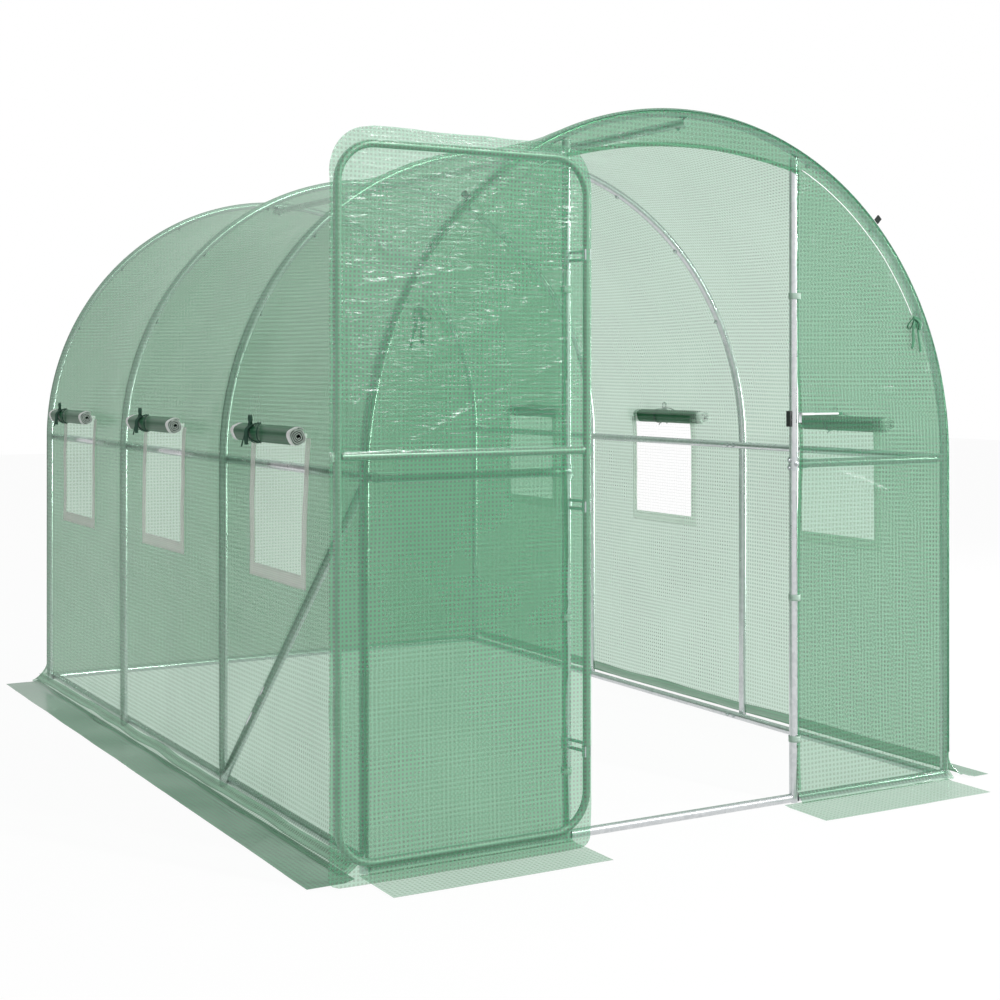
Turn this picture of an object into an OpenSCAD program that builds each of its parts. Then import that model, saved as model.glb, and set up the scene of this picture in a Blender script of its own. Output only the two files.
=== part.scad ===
// Walk-in polytunnel greenhouse: four galvanised steel hoops, rails, a scrim-reinforced
// polyethylene cover with six roll-up windows, and one hinged door standing open.
// X runs across, Y from the door end (-Y) to the back (+Y), Z up from the ground.

/* [Tunnel] */
// Width over the cover
tunnel_w = 2000; // [1800:10:2400]
// Length from the first hoop to the last
tunnel_l = 3000; // [2700:10:3900]
// Height of the straight legs, where the arches begin
leg_h = 988; // [900:1:1150]

/* [Frame] */
// Outside diameter of the frame tubes
tube_d = 25; // [22:0.5:28]
// Distance between the two door posts, centre to centre
post_gap = 780; // [700:10:860]
// Size of the bolt heads across their corners
bolt_d = 11; // [8:0.5:14]

/* [Cover] */
// Thickness of the cover sheet
cover_t = 1.5; // [1:0.25:2]
// Width of the skirts that lie on the ground along the sides
side_skirt_w = 200; // [100:10:300]
// Width of the skirts that lie on the ground at both ends
end_skirt_w = 210; // [180:10:300]

/* [Windows] */
// Width of each window opening
window_w = 360; // [260:10:460]
// Height of the window sills above the ground
window_sill = 705; // [600:5:800]
// Width of the binding round each window
border_w = 30; // [20:5:45]
// Diameter of a rolled-up window flap
roll_d = 52; // [40:1:60]
// How far the left windows sit behind the middle of their bays
left_window_shift = 43; // [0:1:80]
// How far the right windows sit behind the middle of their bays
right_window_shift = 0; // [0:1:80]

/* [Door] */
// Outside diameter of the door's tubes
door_tube_d = 20; // [16:0.5:22]
// Height of the doorway at its crown
doorway_h = 1878; // [1700:1:1900]
// Clear height between the ground and the hem of the door cover
door_hem = 8; // [7:1:30]

/* [Hidden] */
$fn = 48;

steel = "#b9bdbf";
bolt_steel = "#8d9294";
dark_plastic = "#2b2f2e";
sheet = "#7fb79a";
skirt = "#7aa88c";
binding = "#d3d0cf";
net = "#f2f4f3";
roll_green = "#2f8a63";
tie_green = "#1f5a42";

// Frame
tube_r = tube_d / 2;
outer_r = tunnel_w / 2;
inner_r = outer_r - cover_t;
hoop_r = inner_r - tube_r;
bay_l = tunnel_l / 3;
hoop_ys = [for (i = [0:3]) -tunnel_l / 2 + i * bay_l];
front_y = hoop_ys[0];
back_y = hoop_ys[3];
end_y = tunnel_l / 2 + tube_r;
cover_end_y = end_y + cover_t;
inside_x = hoop_r - tube_d;
purlin_z = leg_h;
crossbar_z = leg_h - 3;
ridge_z = leg_h + hoop_r - tube_d;
arch_bolt_gap = 0.2;
post_x = post_gap / 2;
post_top = leg_h + sqrt(pow(hoop_r - tube_r, 2) - pow(post_x + tube_r, 2)) - 0.5;
brace_low_z = 20;
brace_high_z = leg_h - 18;

// Cover
wall_top = leg_h + 150;
panel_x = post_x + tube_r + 3.5;
door_arch_rise = 51;
door_arch_r = (pow(panel_x, 2) + pow(door_arch_rise, 2)) / (2 * door_arch_rise);
window_top = leg_h + 100;
roll_z = leg_h + 92;
roll_x = outer_r + 1 + roll_d / 2;
roll_l = window_w + 2 * border_w + 20;
tie_t = 1.5;
tie_w = 14;
bay_middles = [for (i = [0:2]) front_y + (i + 0.5) * bay_l];

// Door, standing open at 180 degrees in front of the left panel
door_tube_r = door_tube_d / 2;
pivot_x = -(post_x - 13);
pivot_y = front_y - 72.5;
door_plane_y = pivot_y - 40;
door_stile_x = pivot_x - 21;
door_frame_w = post_gap - 68;
door_free_x = door_stile_x - door_frame_w;
door_low_z = 58;
door_high_z = doorway_h - 68;
door_corner_r = 100;
door_bar_z = 1048;
door_cover_low_x = door_free_x - 24;
door_cover_high_x = door_stile_x + 11;
door_cover_top = doorway_h - 21;
door_cover_corner_r = 120;
hinge_zs = [260, 900, 1560];

// Hinges: two post knuckles with a pin, one door knuckle between them
pin_r = 3;
pin_clearance = 0.06;
knuckle_r = 7;
knuckle_h = 10;
knuckle_gap = 0.4;
link_t = 4;
link_step = 1;
clamp_t = 2;

tab_zs = [185, 596, 1473];
latch_z = 1116;

// A straight tube along Y
module tube_y(r, from, to) {
    translate([0, from, 0]) rotate([-90, 0, 0]) cylinder(r = r, h = to - from);
}

// A straight tube along X
module tube_x(r, from, to) {
    translate([from, 0, 0]) rotate([0, 90, 0]) cylinder(r = r, h = to - from);
}

// The same thing on the left and on the right
module both_sides() {
    children();
    mirror([1, 0, 0]) children();
}

module arch(y) {
    color(steel) translate([0, y, leg_h]) rotate([90, 0, 0])
        rotate_extrude(angle = 180, $fn = 120) translate([hoop_r, 0]) circle(r = tube_r);
}

module legs(y) {
    color(steel) both_sides() translate([hoop_r, y, 0]) cylinder(r = tube_r, h = leg_h);
}

module ridge_pole() {
    color(steel) translate([0, 0, ridge_z]) tube_y(tube_r, -end_y, end_y);
}

module purlin(side) {
    color(steel) translate([side * inside_x, 0, purlin_z]) tube_y(tube_r, -end_y, end_y);
}

module side_base_rail(side) {
    color(steel) translate([side * inside_x, 0, tube_r])
        tube_y(tube_r, front_y + tube_r, back_y - tube_r);
}

module back_base_rail() {
    leg_face = hoop_r - tube_r;
    color(steel) translate([0, back_y, tube_r]) tube_x(tube_r, -leg_face, leg_face);
}

// A threshold between the posts and one short rail on each side of it
module front_base_rail() {
    color(steel) translate([0, front_y, tube_r]) {
        tube_x(tube_r, -post_x + tube_r, post_x - tube_r);
        both_sides() tube_x(tube_r, post_x + tube_r, hoop_r - tube_r);
    }
}

// From the foot of the second left leg up to the top of the first
module left_brace() {
    low = [hoop_ys[1], brace_low_z];
    high = [front_y, brace_high_z];
    run = low[0] - high[0];
    rise = high[1] - low[1];
    over = 40;
    color(steel) intersection() {
        translate([-hoop_r, low[0], low[1]]) rotate([atan2(run, rise), 0, 0])
            translate([0, 0, -over]) cylinder(r = tube_r, h = norm([run, rise]) + 2 * over);
        translate([-outer_r, front_y + tube_r, 0]) cube([tube_d * 2, run - tube_d, leg_h]);
    }
}

module door_post(side) {
    color(steel) translate([side * post_x, front_y, 0]) cylinder(r = tube_r, h = post_top);
}

module front_crossbars() {
    color(steel) both_sides() translate([0, front_y, crossbar_z])
        tube_x(tube_r, post_x + tube_r, inside_x - tube_r);
}

// A sleeve that bolts each crossbar to its post, with two bolt heads on the doorway side
module crossbar_clamp() {
    sleeve_r = tube_r + clamp_t;
    difference() {
        union() {
            translate([post_x, front_y, crossbar_z - 20]) cylinder(r = sleeve_r, h = 40);
            translate([0, front_y, crossbar_z]) tube_x(sleeve_r, post_x, post_x + 45);
            for (z = [-11, 11]) translate([0, front_y, crossbar_z + z])
                tube_x(bolt_d / 2, post_x - sleeve_r - 4, post_x, $fn = 6);
        }
        translate([post_x, front_y, 0]) cylinder(r = tube_r, h = post_top);
        translate([0, front_y, crossbar_z]) tube_x(tube_r, post_x, inside_x);
        translate([panel_x - 2, front_y - tube_r - 9, crossbar_z - 30]) cube([60, 10, 60]);
    }
}

module crossbar_clamps() {
    color(bolt_steel) both_sides() crossbar_clamp();
}

// A six-sided head with its base at the origin, standing along +Z
module bolt_head() {
    cylinder(r = bolt_d / 2, h = 5, $fn = 6);
}

// Bolts on the insides of the tubes; those on the bent tubes stand a hair off the curve
module frame_bolts() {
    bolt_angles = [27, 45, 63, 117, 135, 153];
    color(bolt_steel) {
        for (y = hoop_ys) {
            for (a = bolt_angles) translate([0, y, leg_h]) rotate([0, -a, 0])
                translate([hoop_r - tube_r - arch_bolt_gap, 0, 0])
                    rotate([0, -90, 0]) bolt_head();
            ridge_bolt_y = y - sign(y) * 30;
            translate([0, ridge_bolt_y, ridge_z - tube_r]) rotate([180, 0, 0]) bolt_head();
        }
        both_sides() for (y = [front_y + 45, hoop_ys[1] + 5, hoop_ys[1] + 40,
                               hoop_ys[2] - 5, hoop_ys[2] - 40, back_y - 45])
            for (z = [purlin_z, tube_r])
                translate([inside_x - tube_r, y, z]) rotate([0, -90, 0]) bolt_head();
    }
}

// The end view of the tunnel at one radius, drawn with Z as the second axis
module tunnel_outline(r) {
    translate([-r, 0]) square([2 * r, leg_h]);
    intersection() {
        translate([0, leg_h]) circle(r = r, $fn = 160);
        translate([-r, leg_h]) square([2 * r, r]);
    }
}

// The end view of a cover layer that starts at one radius and ends at another
module layer_outline(from_r, to_r) {
    difference() {
        tunnel_outline(to_r);
        tunnel_outline(from_r);
        translate([-to_r, -1]) square([2 * to_r, 1]);
        translate([-from_r, -1]) square([2 * from_r, 3]);
    }
}

// A block that cuts the window of one bay, with a margin round it
module window_block(y, margin, top) {
    low = window_sill - margin;
    wide = window_w + 2 * margin;
    translate([outer_r - 60, y - wide / 2, low]) cube([120, wide, top - low]);
}

module extrude_y(from, to) {
    translate([0, to, 0]) rotate([90, 0, 0]) linear_extrude(height = to - from) children();
}

module roof_cover() {
    color(sheet) extrude_y(-end_y, end_y) intersection() {
        layer_outline(inner_r, outer_r);
        translate([-outer_r, wall_top]) square([2 * outer_r, outer_r]);
    }
}

// A right-hand wall from the ground to just above the windows
module wall_shell() {
    extrude_y(-end_y, end_y) intersection() {
        layer_outline(inner_r, outer_r);
        translate([outer_r / 2, 0]) square([outer_r, wall_top]);
    }
}

module wall_cover(shift) {
    color(sheet) difference() {
        wall_shell();
        for (y = bay_middles) window_block(y + shift, 0, window_top);
    }
}

module left_wall_cover() {
    mirror([1, 0, 0]) wall_cover(left_window_shift);
}

module right_wall_cover() {
    wall_cover(right_window_shift);
}

module back_cover() {
    color(sheet) extrude_y(end_y, cover_end_y) tunnel_outline(outer_r);
}

// A right-hand front panel from the post to the outside of the cover
module front_panel() {
    color(sheet) extrude_y(-cover_end_y, -end_y) intersection() {
        tunnel_outline(outer_r);
        translate([panel_x, 0]) square([outer_r, leg_h + outer_r]);
    }
}

module front_cover_top() {
    color(sheet) extrude_y(-cover_end_y, -end_y) difference() {
        intersection() {
            tunnel_outline(outer_r);
            translate([-panel_x, leg_h]) square([2 * panel_x, outer_r]);
        }
        translate([0, doorway_h - door_arch_r]) circle(r = door_arch_r, $fn = 200);
    }
}

module side_skirt() {
    color(skirt) translate([outer_r, -cover_end_y, 0])
        cube([side_skirt_w, 2 * cover_end_y, cover_t]);
}

module front_skirts() {
    color(skirt) both_sides() translate([panel_x, -cover_end_y - end_skirt_w, 0])
        cube([outer_r - panel_x, end_skirt_w, cover_t]);
}

module back_skirt() {
    color(skirt) translate([-outer_r, cover_end_y, 0])
        cube([2 * outer_r, end_skirt_w, cover_t]);
}

// Draws its children for each window: the left ones by mirroring the right-hand side
module each_window() {
    for (y = bay_middles) {
        translate([0, y + right_window_shift, 0]) children();
        mirror([1, 0, 0]) translate([0, y + left_window_shift, 0]) children();
    }
}

module window_meshes() {
    color(net) each_window() intersection() {
        extrude_y(-bay_l / 2, bay_l / 2) layer_outline(inner_r, outer_r);
        window_block(0, 0, window_top);
    }
}

module window_borders() {
    color(binding) each_window() intersection() {
        extrude_y(-bay_l / 2, bay_l / 2) layer_outline(outer_r, outer_r + 1);
        difference() {
            window_block(0, border_w, window_top - 40);
            window_block(0, 0, window_top);
        }
    }
}

module window_rolls() {
    color(roll_green) each_window() translate([roll_x, 0, roll_z])
        tube_y(roll_d / 2, -roll_l / 2, roll_l / 2);
}

// A strap round each roll with a knot and two hanging ends on its outer side
module roll_tie() {
    loop_r = roll_d / 2 + tie_t;
    difference() {
        union() {
            tube_y(loop_r, -tie_w / 2, tie_w / 2);
            translate([roll_d / 2 - 1, -9, -6]) cube([8, 18, 12]);
            for (y = [-7, 3]) translate([roll_d / 2 + 2, y, -48]) cube([2, 4, 48]);
        }
        tube_y(roll_d / 2, -tie_w, tie_w);
    }
}

module roll_ties() {
    color(tie_green) each_window() translate([roll_x, 0, roll_z]) roll_tie();
}

// Loops that tie the front panels' edges to the door posts
module cover_tabs() {
    color(sheet) both_sides() for (z = tab_zs) translate([0, 0, z - 10]) difference() {
        union() {
            translate([post_x, front_y, 0]) cylinder(r = tube_r + cover_t, h = 20);
            translate([post_x, -cover_end_y, 0]) cube([panel_x - post_x, cover_t, 20]);
        }
        translate([post_x, front_y, -1]) cylinder(r = tube_r, h = 22);
    }
}

// Short webbing ends that stand out over the front hoop
module hoop_tabs() {
    color(tie_green) both_sides() translate([0, front_y, leg_h]) rotate([0, -45.7, 0])
        translate([outer_r, -7, -2]) cube([18, 14, 4]);
}

// A flat bar between two points seen from above, a little lower than the knuckle it joins
module link(from, to) {
    d = to - from;
    translate([from[0], from[1], link_step]) rotate([0, 0, atan2(d[1], d[0])])
        translate([0, -link_t / 2, 0]) cube([norm(d), link_t, knuckle_h - 2 * link_step]);
}

// Clamps on the left post, each with two knuckles and the pin
module post_hinge() {
    post = [-post_x, front_y];
    pivot = [pivot_x, pivot_y];
    first_z = knuckle_h / 2 + knuckle_gap;
    half_h = first_z + knuckle_h;
    difference() {
        union() {
            translate([post[0], post[1], -half_h])
                cylinder(r = tube_r + clamp_t, h = 2 * half_h);
            for (z = [-half_h, first_z]) translate([0, 0, z]) {
                link(post, pivot);
                translate([pivot[0], pivot[1], 0]) cylinder(r = knuckle_r, h = knuckle_h);
            }
            translate([pivot[0], pivot[1], -half_h - 2])
                cylinder(r = pin_r, h = 2 * half_h + 4);
        }
        translate([post[0], post[1], -half_h - 1]) cylinder(r = tube_r, h = 2 * half_h + 2);
    }
}

module post_hinges() {
    color(bolt_steel) for (z = hinge_zs) translate([0, 0, z]) post_hinge();
}

// Clamps on the door's hinge stile, open where the cover passes, with one bored knuckle
module door_hinge_leaf() {
    stile = [door_stile_x, door_plane_y];
    pivot = [pivot_x, pivot_y];
    difference() {
        union() {
            translate([stile[0], stile[1], -14]) cylinder(r = door_tube_r + clamp_t, h = 28);
            translate([0, 0, -knuckle_h / 2]) {
                link(stile, pivot);
                translate([pivot[0], pivot[1], 0]) cylinder(r = knuckle_r, h = knuckle_h);
            }
        }
        translate([stile[0], stile[1], -15]) cylinder(r = door_tube_r, h = 30);
        translate([pivot[0], pivot[1], -knuckle_h])
            cylinder(r = pin_r + pin_clearance, h = 2 * knuckle_h);
        translate([stile[0] - 30, stile[1] - door_tube_r - 19, -20]) cube([60, 20, 40]);
    }
}

module door_hinge_leaves() {
    color(bolt_steel) for (z = hinge_zs) translate([0, 0, z]) door_hinge_leaf();
}

// A keeper on the right post with a striking plate and a bar that swings over the door
module latch() {
    arm_y = front_y - tube_r - 12;
    color(dark_plastic) difference() {
        union() {
            translate([post_x, front_y, latch_z - 23]) cylinder(r = tube_r + clamp_t, h = 46);
            translate([post_x - tube_r - 5, front_y - 9, latch_z - 23]) cube([5, 18, 46]);
            translate([post_x + 2, arm_y - 4, latch_z + 8]) cube([9, 24, 12]);
        }
        translate([post_x, front_y, latch_z - 24]) cylinder(r = tube_r, h = 48);
    }
    color(dark_plastic) translate([0, arm_y, latch_z + 14])
        tube_x(3, post_x + 11, post_x + 161);
}

// A quarter bend in the plane of the door, turned to its corner
module door_bend(x, z, turn) {
    translate([x, door_plane_y, z]) rotate([90, 0, 0]) rotate([0, 0, turn])
        rotate_extrude(angle = 90, $fn = 96) translate([door_corner_r, 0])
            circle(r = door_tube_r);
}

module door_frame() {
    left = door_free_x + door_corner_r;
    right = door_stile_x - door_corner_r;
    low = door_low_z + door_corner_r;
    high = door_high_z - door_corner_r;
    color(steel) {
        for (z = [door_low_z, door_high_z])
            translate([0, door_plane_y, z]) tube_x(door_tube_r, left, right);
        for (x = [door_free_x, door_stile_x])
            translate([x, door_plane_y, low]) cylinder(r = door_tube_r, h = high - low);
        door_bend(right, high, 0);
        door_bend(left, high, 90);
        door_bend(left, low, 180);
        door_bend(right, low, 270);
    }
}

module door_mid_bar() {
    color(steel) translate([0, door_plane_y, door_bar_z])
        tube_x(door_tube_r, door_free_x + door_tube_r, door_stile_x - door_tube_r);
}

module door_cover() {
    face_y = door_plane_y - door_tube_r;
    inset = door_cover_corner_r;
    wide = door_cover_high_x - door_cover_low_x;
    tall = door_cover_top - door_hem;
    color(sheet) extrude_y(face_y - cover_t, face_y)
        translate([door_cover_low_x, door_hem]) {
            translate([0, inset]) square([wide, tall - 2 * inset]);
            translate([inset, 0]) square([wide - 2 * inset, tall]);
            for (x = [inset, wide - inset]) for (z = [inset, tall - inset])
                translate([x, z]) circle(r = inset);
        }
}

arch(hoop_ys[0]);  // front_arch
arch(hoop_ys[1]);  // second_arch
arch(hoop_ys[2]);  // third_arch
arch(hoop_ys[3]);  // back_arch
legs(hoop_ys[0]);  // front_legs
legs(hoop_ys[1]);  // second_legs
legs(hoop_ys[2]);  // third_legs
legs(hoop_ys[3]);  // back_legs
ridge_pole();
purlin(-1);  // left_purlin
purlin(1);  // right_purlin
side_base_rail(-1);  // left_base_rail
side_base_rail(1);  // right_base_rail
front_base_rail();
back_base_rail();
left_brace();
door_post(-1);  // left_door_post
door_post(1);  // right_door_post
front_crossbars();
crossbar_clamps();
frame_bolts();
roof_cover();
left_wall_cover();
right_wall_cover();
back_cover();
mirror([1, 0, 0]) front_panel();  // front_cover_left
front_panel();  // front_cover_right
front_cover_top();
mirror([1, 0, 0]) side_skirt();  // left_skirt
side_skirt();  // right_skirt
front_skirts();
back_skirt();
window_meshes();
window_borders();
window_rolls();
roll_ties();
cover_tabs();
hoop_tabs();
post_hinges();
latch();
door_frame();
door_mid_bar();
door_cover();
door_hinge_leaves();
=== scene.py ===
"""Walk-in polytunnel greenhouse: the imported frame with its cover, windows and fittings."""
import logging
import math
from collections.abc import Callable
from dataclasses import dataclass
from enum import Enum

import bmesh
import bpy
import numpy as np
from mathutils import Matrix, Vector


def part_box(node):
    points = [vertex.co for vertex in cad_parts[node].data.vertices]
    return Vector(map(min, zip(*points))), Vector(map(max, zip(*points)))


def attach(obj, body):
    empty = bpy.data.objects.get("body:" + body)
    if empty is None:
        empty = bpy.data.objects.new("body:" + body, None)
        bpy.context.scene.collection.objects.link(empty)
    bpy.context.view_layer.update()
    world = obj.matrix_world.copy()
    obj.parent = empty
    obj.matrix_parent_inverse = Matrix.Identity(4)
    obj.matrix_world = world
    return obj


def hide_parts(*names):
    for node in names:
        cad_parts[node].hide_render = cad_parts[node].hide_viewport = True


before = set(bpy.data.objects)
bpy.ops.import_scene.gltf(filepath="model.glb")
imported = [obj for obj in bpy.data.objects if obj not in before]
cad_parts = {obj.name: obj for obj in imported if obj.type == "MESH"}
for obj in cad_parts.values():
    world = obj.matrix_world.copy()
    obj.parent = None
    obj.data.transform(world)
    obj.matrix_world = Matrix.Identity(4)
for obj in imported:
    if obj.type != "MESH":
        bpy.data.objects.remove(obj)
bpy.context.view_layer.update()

logging.basicConfig(level=logging.INFO, format="%(message)s")
LOG = logging.getLogger("greenhouse")


# ---------------------------------------------------------------- small helpers


def linear(code: str) -> tuple[float, float, float, float]:
    """Turns an sRGB hex colour into linear red, green, blue and alpha.

    Args:
        code: the colour as "#rrggbb".

    Returns:
        The four linear values, alpha being 1.
    """
    parts = [int(code[i:i + 2], 16) / 255 for i in (1, 3, 5)]
    low = [c / 12.92 if c <= 0.04045 else ((c + 0.055) / 1.055) ** 2.4 for c in parts]
    return (low[0], low[1], low[2], 1.0)


def add_node(tree: bpy.types.NodeTree, kind: str, settings: dict | None = None,
             inputs: dict | None = None) -> bpy.types.Node:
    """Adds one node, with its properties, its values and its links.

    Args:
        tree: the node tree it goes into.
        kind: the node's type name.
        settings: properties of the node by name.
        inputs: values, or sockets to link from, by input name or number.

    Returns:
        The new node.
    """
    node = tree.nodes.new(kind)
    for key, value in (settings or {}).items():
        setattr(node, key, value)
    for key, value in (inputs or {}).items():
        if isinstance(value, bpy.types.NodeSocket):
            tree.links.new(value, node.inputs[key])
        else:
            node.inputs[key].default_value = value
    return node


def ripple(x: np.ndarray, y: np.ndarray, size_x: float, size_y: float, seed: int) -> np.ndarray:
    """Smooth random waves between -1 and 1.

    Args:
        x: first flat coordinate, in metres.
        y: second flat coordinate, in metres.
        size_x: length of a wave along the first one.
        size_y: length of a wave along the second one.
        seed: number of the pattern.

    Returns:
        One value for each point.
    """
    table = np.random.default_rng(seed).uniform(-1, 1, (128, 128))
    u, v = np.broadcast_arrays(x / size_x + 640.0, y / size_y + 640.0)
    i, j = np.floor(u).astype(int), np.floor(v).astype(int)
    f, g = u - i, v - j
    f, g = f * f * (3 - 2 * f), g * g * (3 - 2 * g)
    i0, i1, j0, j1 = i % 128, (i + 1) % 128, j % 128, (j + 1) % 128
    low = table[i0, j0] * (1 - f) + table[i1, j0] * f
    high = table[i0, j1] * (1 - f) + table[i1, j1] * f
    return low * (1 - g) + high * g


def crease(x: np.ndarray, y: np.ndarray, size_x: float, size_y: float, seed: int,
           sharp: float = 4.0) -> np.ndarray:
    """Thin random ridges between 0 and 1, from where the waves of ripple cross zero.

    Args:
        x: first flat coordinate, in metres.
        y: second flat coordinate, in metres.
        size_x: length of a wave along the first one.
        size_y: length of a wave along the second one.
        seed: number of the pattern.
        sharp: how thin the ridges are.

    Returns:
        One value for each point.
    """
    return (1 - np.abs(ripple(x, y, size_x, size_y, seed))) ** sharp


def ramp(value: np.ndarray, low: float, high: float) -> np.ndarray:
    """Rises smoothly from 0 at low to 1 at high, or falls if high is the smaller."""
    t = np.clip((value - low) / (high - low), 0, 1)
    return t * t * (3 - 2 * t)


def spaced(low: float, high: float, step: float, marks: tuple[float, ...] = ()) -> np.ndarray:
    """Even stations between two ends that also fall exactly on some marks.

    Args:
        low: first station.
        high: last station.
        step: widest gap between stations.
        marks: stations that have to be there.

    Returns:
        The stations in order.
    """
    inner = sorted({round(m, 6) for m in marks if low + 1e-4 < m < high - 1e-4})
    knots = [low, *inner, high]
    out = [low]
    for a, b in zip(knots, knots[1:]):
        count = max(1, math.ceil((b - a) / step - 1e-6))
        out += [a + (b - a) * k / count for k in range(1, count + 1)]
    return np.array(out)


def mesh_object(name: str, points: np.ndarray, faces: list[tuple[int, ...]],
                flat: np.ndarray | None = None,
                crinkle: np.ndarray | None = None) -> bpy.types.Object:
    """Makes a mesh object, smooth shaded, with its flat coordinates in a UV map.

    Args:
        name: the piece's name.
        points: one row for each point, in metres.
        faces: the points' numbers round each face.
        flat: two flat coordinates for each point, in metres.
        crinkle: how crinkled the film is at each point, from 0 to 1.

    Returns:
        The new object, in the scene.
    """
    mesh = bpy.data.meshes.new(name)
    mesh.from_pydata(points.tolist(), [], faces)
    if flat is not None:
        corners = np.empty(len(mesh.loops), dtype=np.int32)
        mesh.loops.foreach_get("vertex_index", corners)
        layer = mesh.uv_layers.new(name="flat")
        layer.data.foreach_set("uv", flat[corners].astype(np.float32).ravel())
    if crinkle is not None:
        layer = mesh.attributes.new("crinkle", "FLOAT", "POINT")
        layer.data.foreach_set("value", crinkle.astype(np.float32).ravel())
    mesh.polygons.foreach_set("use_smooth", [True] * len(mesh.polygons))
    mesh.update()
    piece = bpy.data.objects.new(name, mesh)
    bpy.context.collection.objects.link(piece)
    return piece


def grid_object(name: str, points: np.ndarray, flat: np.ndarray,
                keep: np.ndarray | None = None, turn: bool = False,
                crinkle: np.ndarray | float = 0.35) -> bpy.types.Object:
    """Makes a piece of sheet from rows and columns of points.

    Args:
        name: the piece's name.
        points: rows by columns by three, in metres.
        flat: rows by columns by two, the same points on the flat cloth.
        keep: which squares are there, for holes.
        turn: True to make the faces look the other way.
        crinkle: how crinkled the film is, from 0 to 1.

    Returns:
        The new object.
    """
    rows, cols = points.shape[:2]
    loose = np.broadcast_to(crinkle, (rows, cols)).reshape(-1)
    number = np.arange(rows * cols).reshape(rows, cols)
    quads = np.stack([number[:-1, :-1], number[1:, :-1], number[1:, 1:], number[:-1, 1:]], axis=-1)
    quads = quads[keep] if keep is not None else quads.reshape(-1, 4)
    if turn:
        quads = quads[:, ::-1]
    used, quads = np.unique(quads, return_inverse=True)
    quads = quads.reshape(-1, 4)
    return mesh_object(name, points.reshape(-1, 3)[used], [tuple(q) for q in quads.tolist()],
                       flat.reshape(-1, 2)[used], loose[used])


def deselect() -> None:
    """Leaves object mode with nothing selected."""
    if bpy.context.mode != "OBJECT":
        bpy.ops.object.mode_set(mode="OBJECT")
    bpy.ops.object.select_all(action="DESELECT")


def take(piece: bpy.types.Object) -> bpy.types.Object:
    """Selects one object alone, makes it the active one and returns it."""
    deselect()
    piece.select_set(True)
    bpy.context.view_layer.objects.active = piece
    return piece


def modify(piece: bpy.types.Object, kind: str, **settings: float | str | bool) -> None:
    """Adds one modifier and applies it.

    Args:
        piece: the object.
        kind: the modifier's type name.
        settings: its properties.
    """
    take(piece)
    modifier = piece.modifiers.new(kind.lower(), kind)
    for key, value in settings.items():
        setattr(modifier, key, value)
    bpy.ops.object.modifier_apply(modifier=modifier.name)


def thicken(piece: bpy.types.Object, thickness: float, offset: float = 0.0) -> None:
    """Gives an open sheet a thickness; offset -1 grows it inwards, 1 outwards, 0 both ways."""
    modify(piece, "SOLIDIFY", thickness=thickness, offset=offset)


def round_edges(piece: bpy.types.Object, width: float, segments: int = 2) -> None:
    """Bevels the sharp edges of a piece and shades it smooth between them."""
    modify(piece, "BEVEL", width=width, segments=segments, limit_method="ANGLE",
           angle_limit=math.radians(35))
    take(piece)
    bpy.ops.object.shade_smooth_by_angle(angle=math.radians(40))


def join(pieces: list[bpy.types.Object], name: str) -> bpy.types.Object:
    """Joins pieces into the first one and names it."""
    take(pieces[0])
    for piece in pieces[1:]:
        piece.select_set(True)
    bpy.ops.object.join()
    pieces[0].name = pieces[0].data.name = name
    return pieces[0]


def edit_faces(piece: bpy.types.Object, test: Callable[[Vector, Vector], bool]) -> None:
    """Goes into edit mode with the faces selected that pass a test.

    Args:
        piece: the object.
        test: says yes or no to a face by its middle and its normal.
    """
    take(piece)
    bpy.ops.object.mode_set(mode="EDIT")
    bpy.ops.mesh.select_mode(type="FACE")
    bpy.ops.mesh.select_all(action="DESELECT")
    bpy.ops.object.mode_set(mode="OBJECT")
    for face in piece.data.polygons:
        face.select = test(face.center, face.normal)
    bpy.ops.object.mode_set(mode="EDIT")


def inset_faces(piece: bpy.types.Object, test: Callable[[Vector, Vector], bool],
                thickness: float, depth: float) -> None:
    """Insets the faces that pass a test, and goes back to object mode.

    Args:
        piece: the object.
        test: says yes or no to a face by its middle and its normal.
        thickness: how far the new edges stand in from the old ones.
        depth: how far the inset faces rise.
    """
    edit_faces(piece, test)
    bpy.ops.mesh.inset(thickness=thickness, depth=depth)
    bpy.ops.object.mode_set(mode="OBJECT")


def cylinder(radius: float, depth: float, place: tuple[float, float, float],
             turn: tuple[float, float, float] = (0.0, 0.0, 0.0),
             sides: int = 24) -> bpy.types.Object:
    """Adds a cylinder with its place and turn in its mesh.

    Args:
        radius: in metres.
        depth: its length along its own Z.
        place: its middle.
        turn: rotation in degrees.
        sides: number of sides.

    Returns:
        The new object.
    """
    deselect()
    bpy.ops.mesh.primitive_cylinder_add(vertices=sides, radius=radius, depth=depth,
                                        location=place,
                                        rotation=[math.radians(a) for a in turn])
    bpy.ops.object.transform_apply(location=True, rotation=True, scale=True)
    return bpy.context.object


def block(size: tuple[float, float, float],
          place: tuple[float, float, float]) -> bpy.types.Object:
    """Adds a box of a size with its middle at a place, both in its mesh."""
    deselect()
    bpy.ops.mesh.primitive_cube_add(size=1.0, location=place, scale=size)
    bpy.ops.object.transform_apply(location=True, rotation=True, scale=True)
    return bpy.context.object


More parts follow.
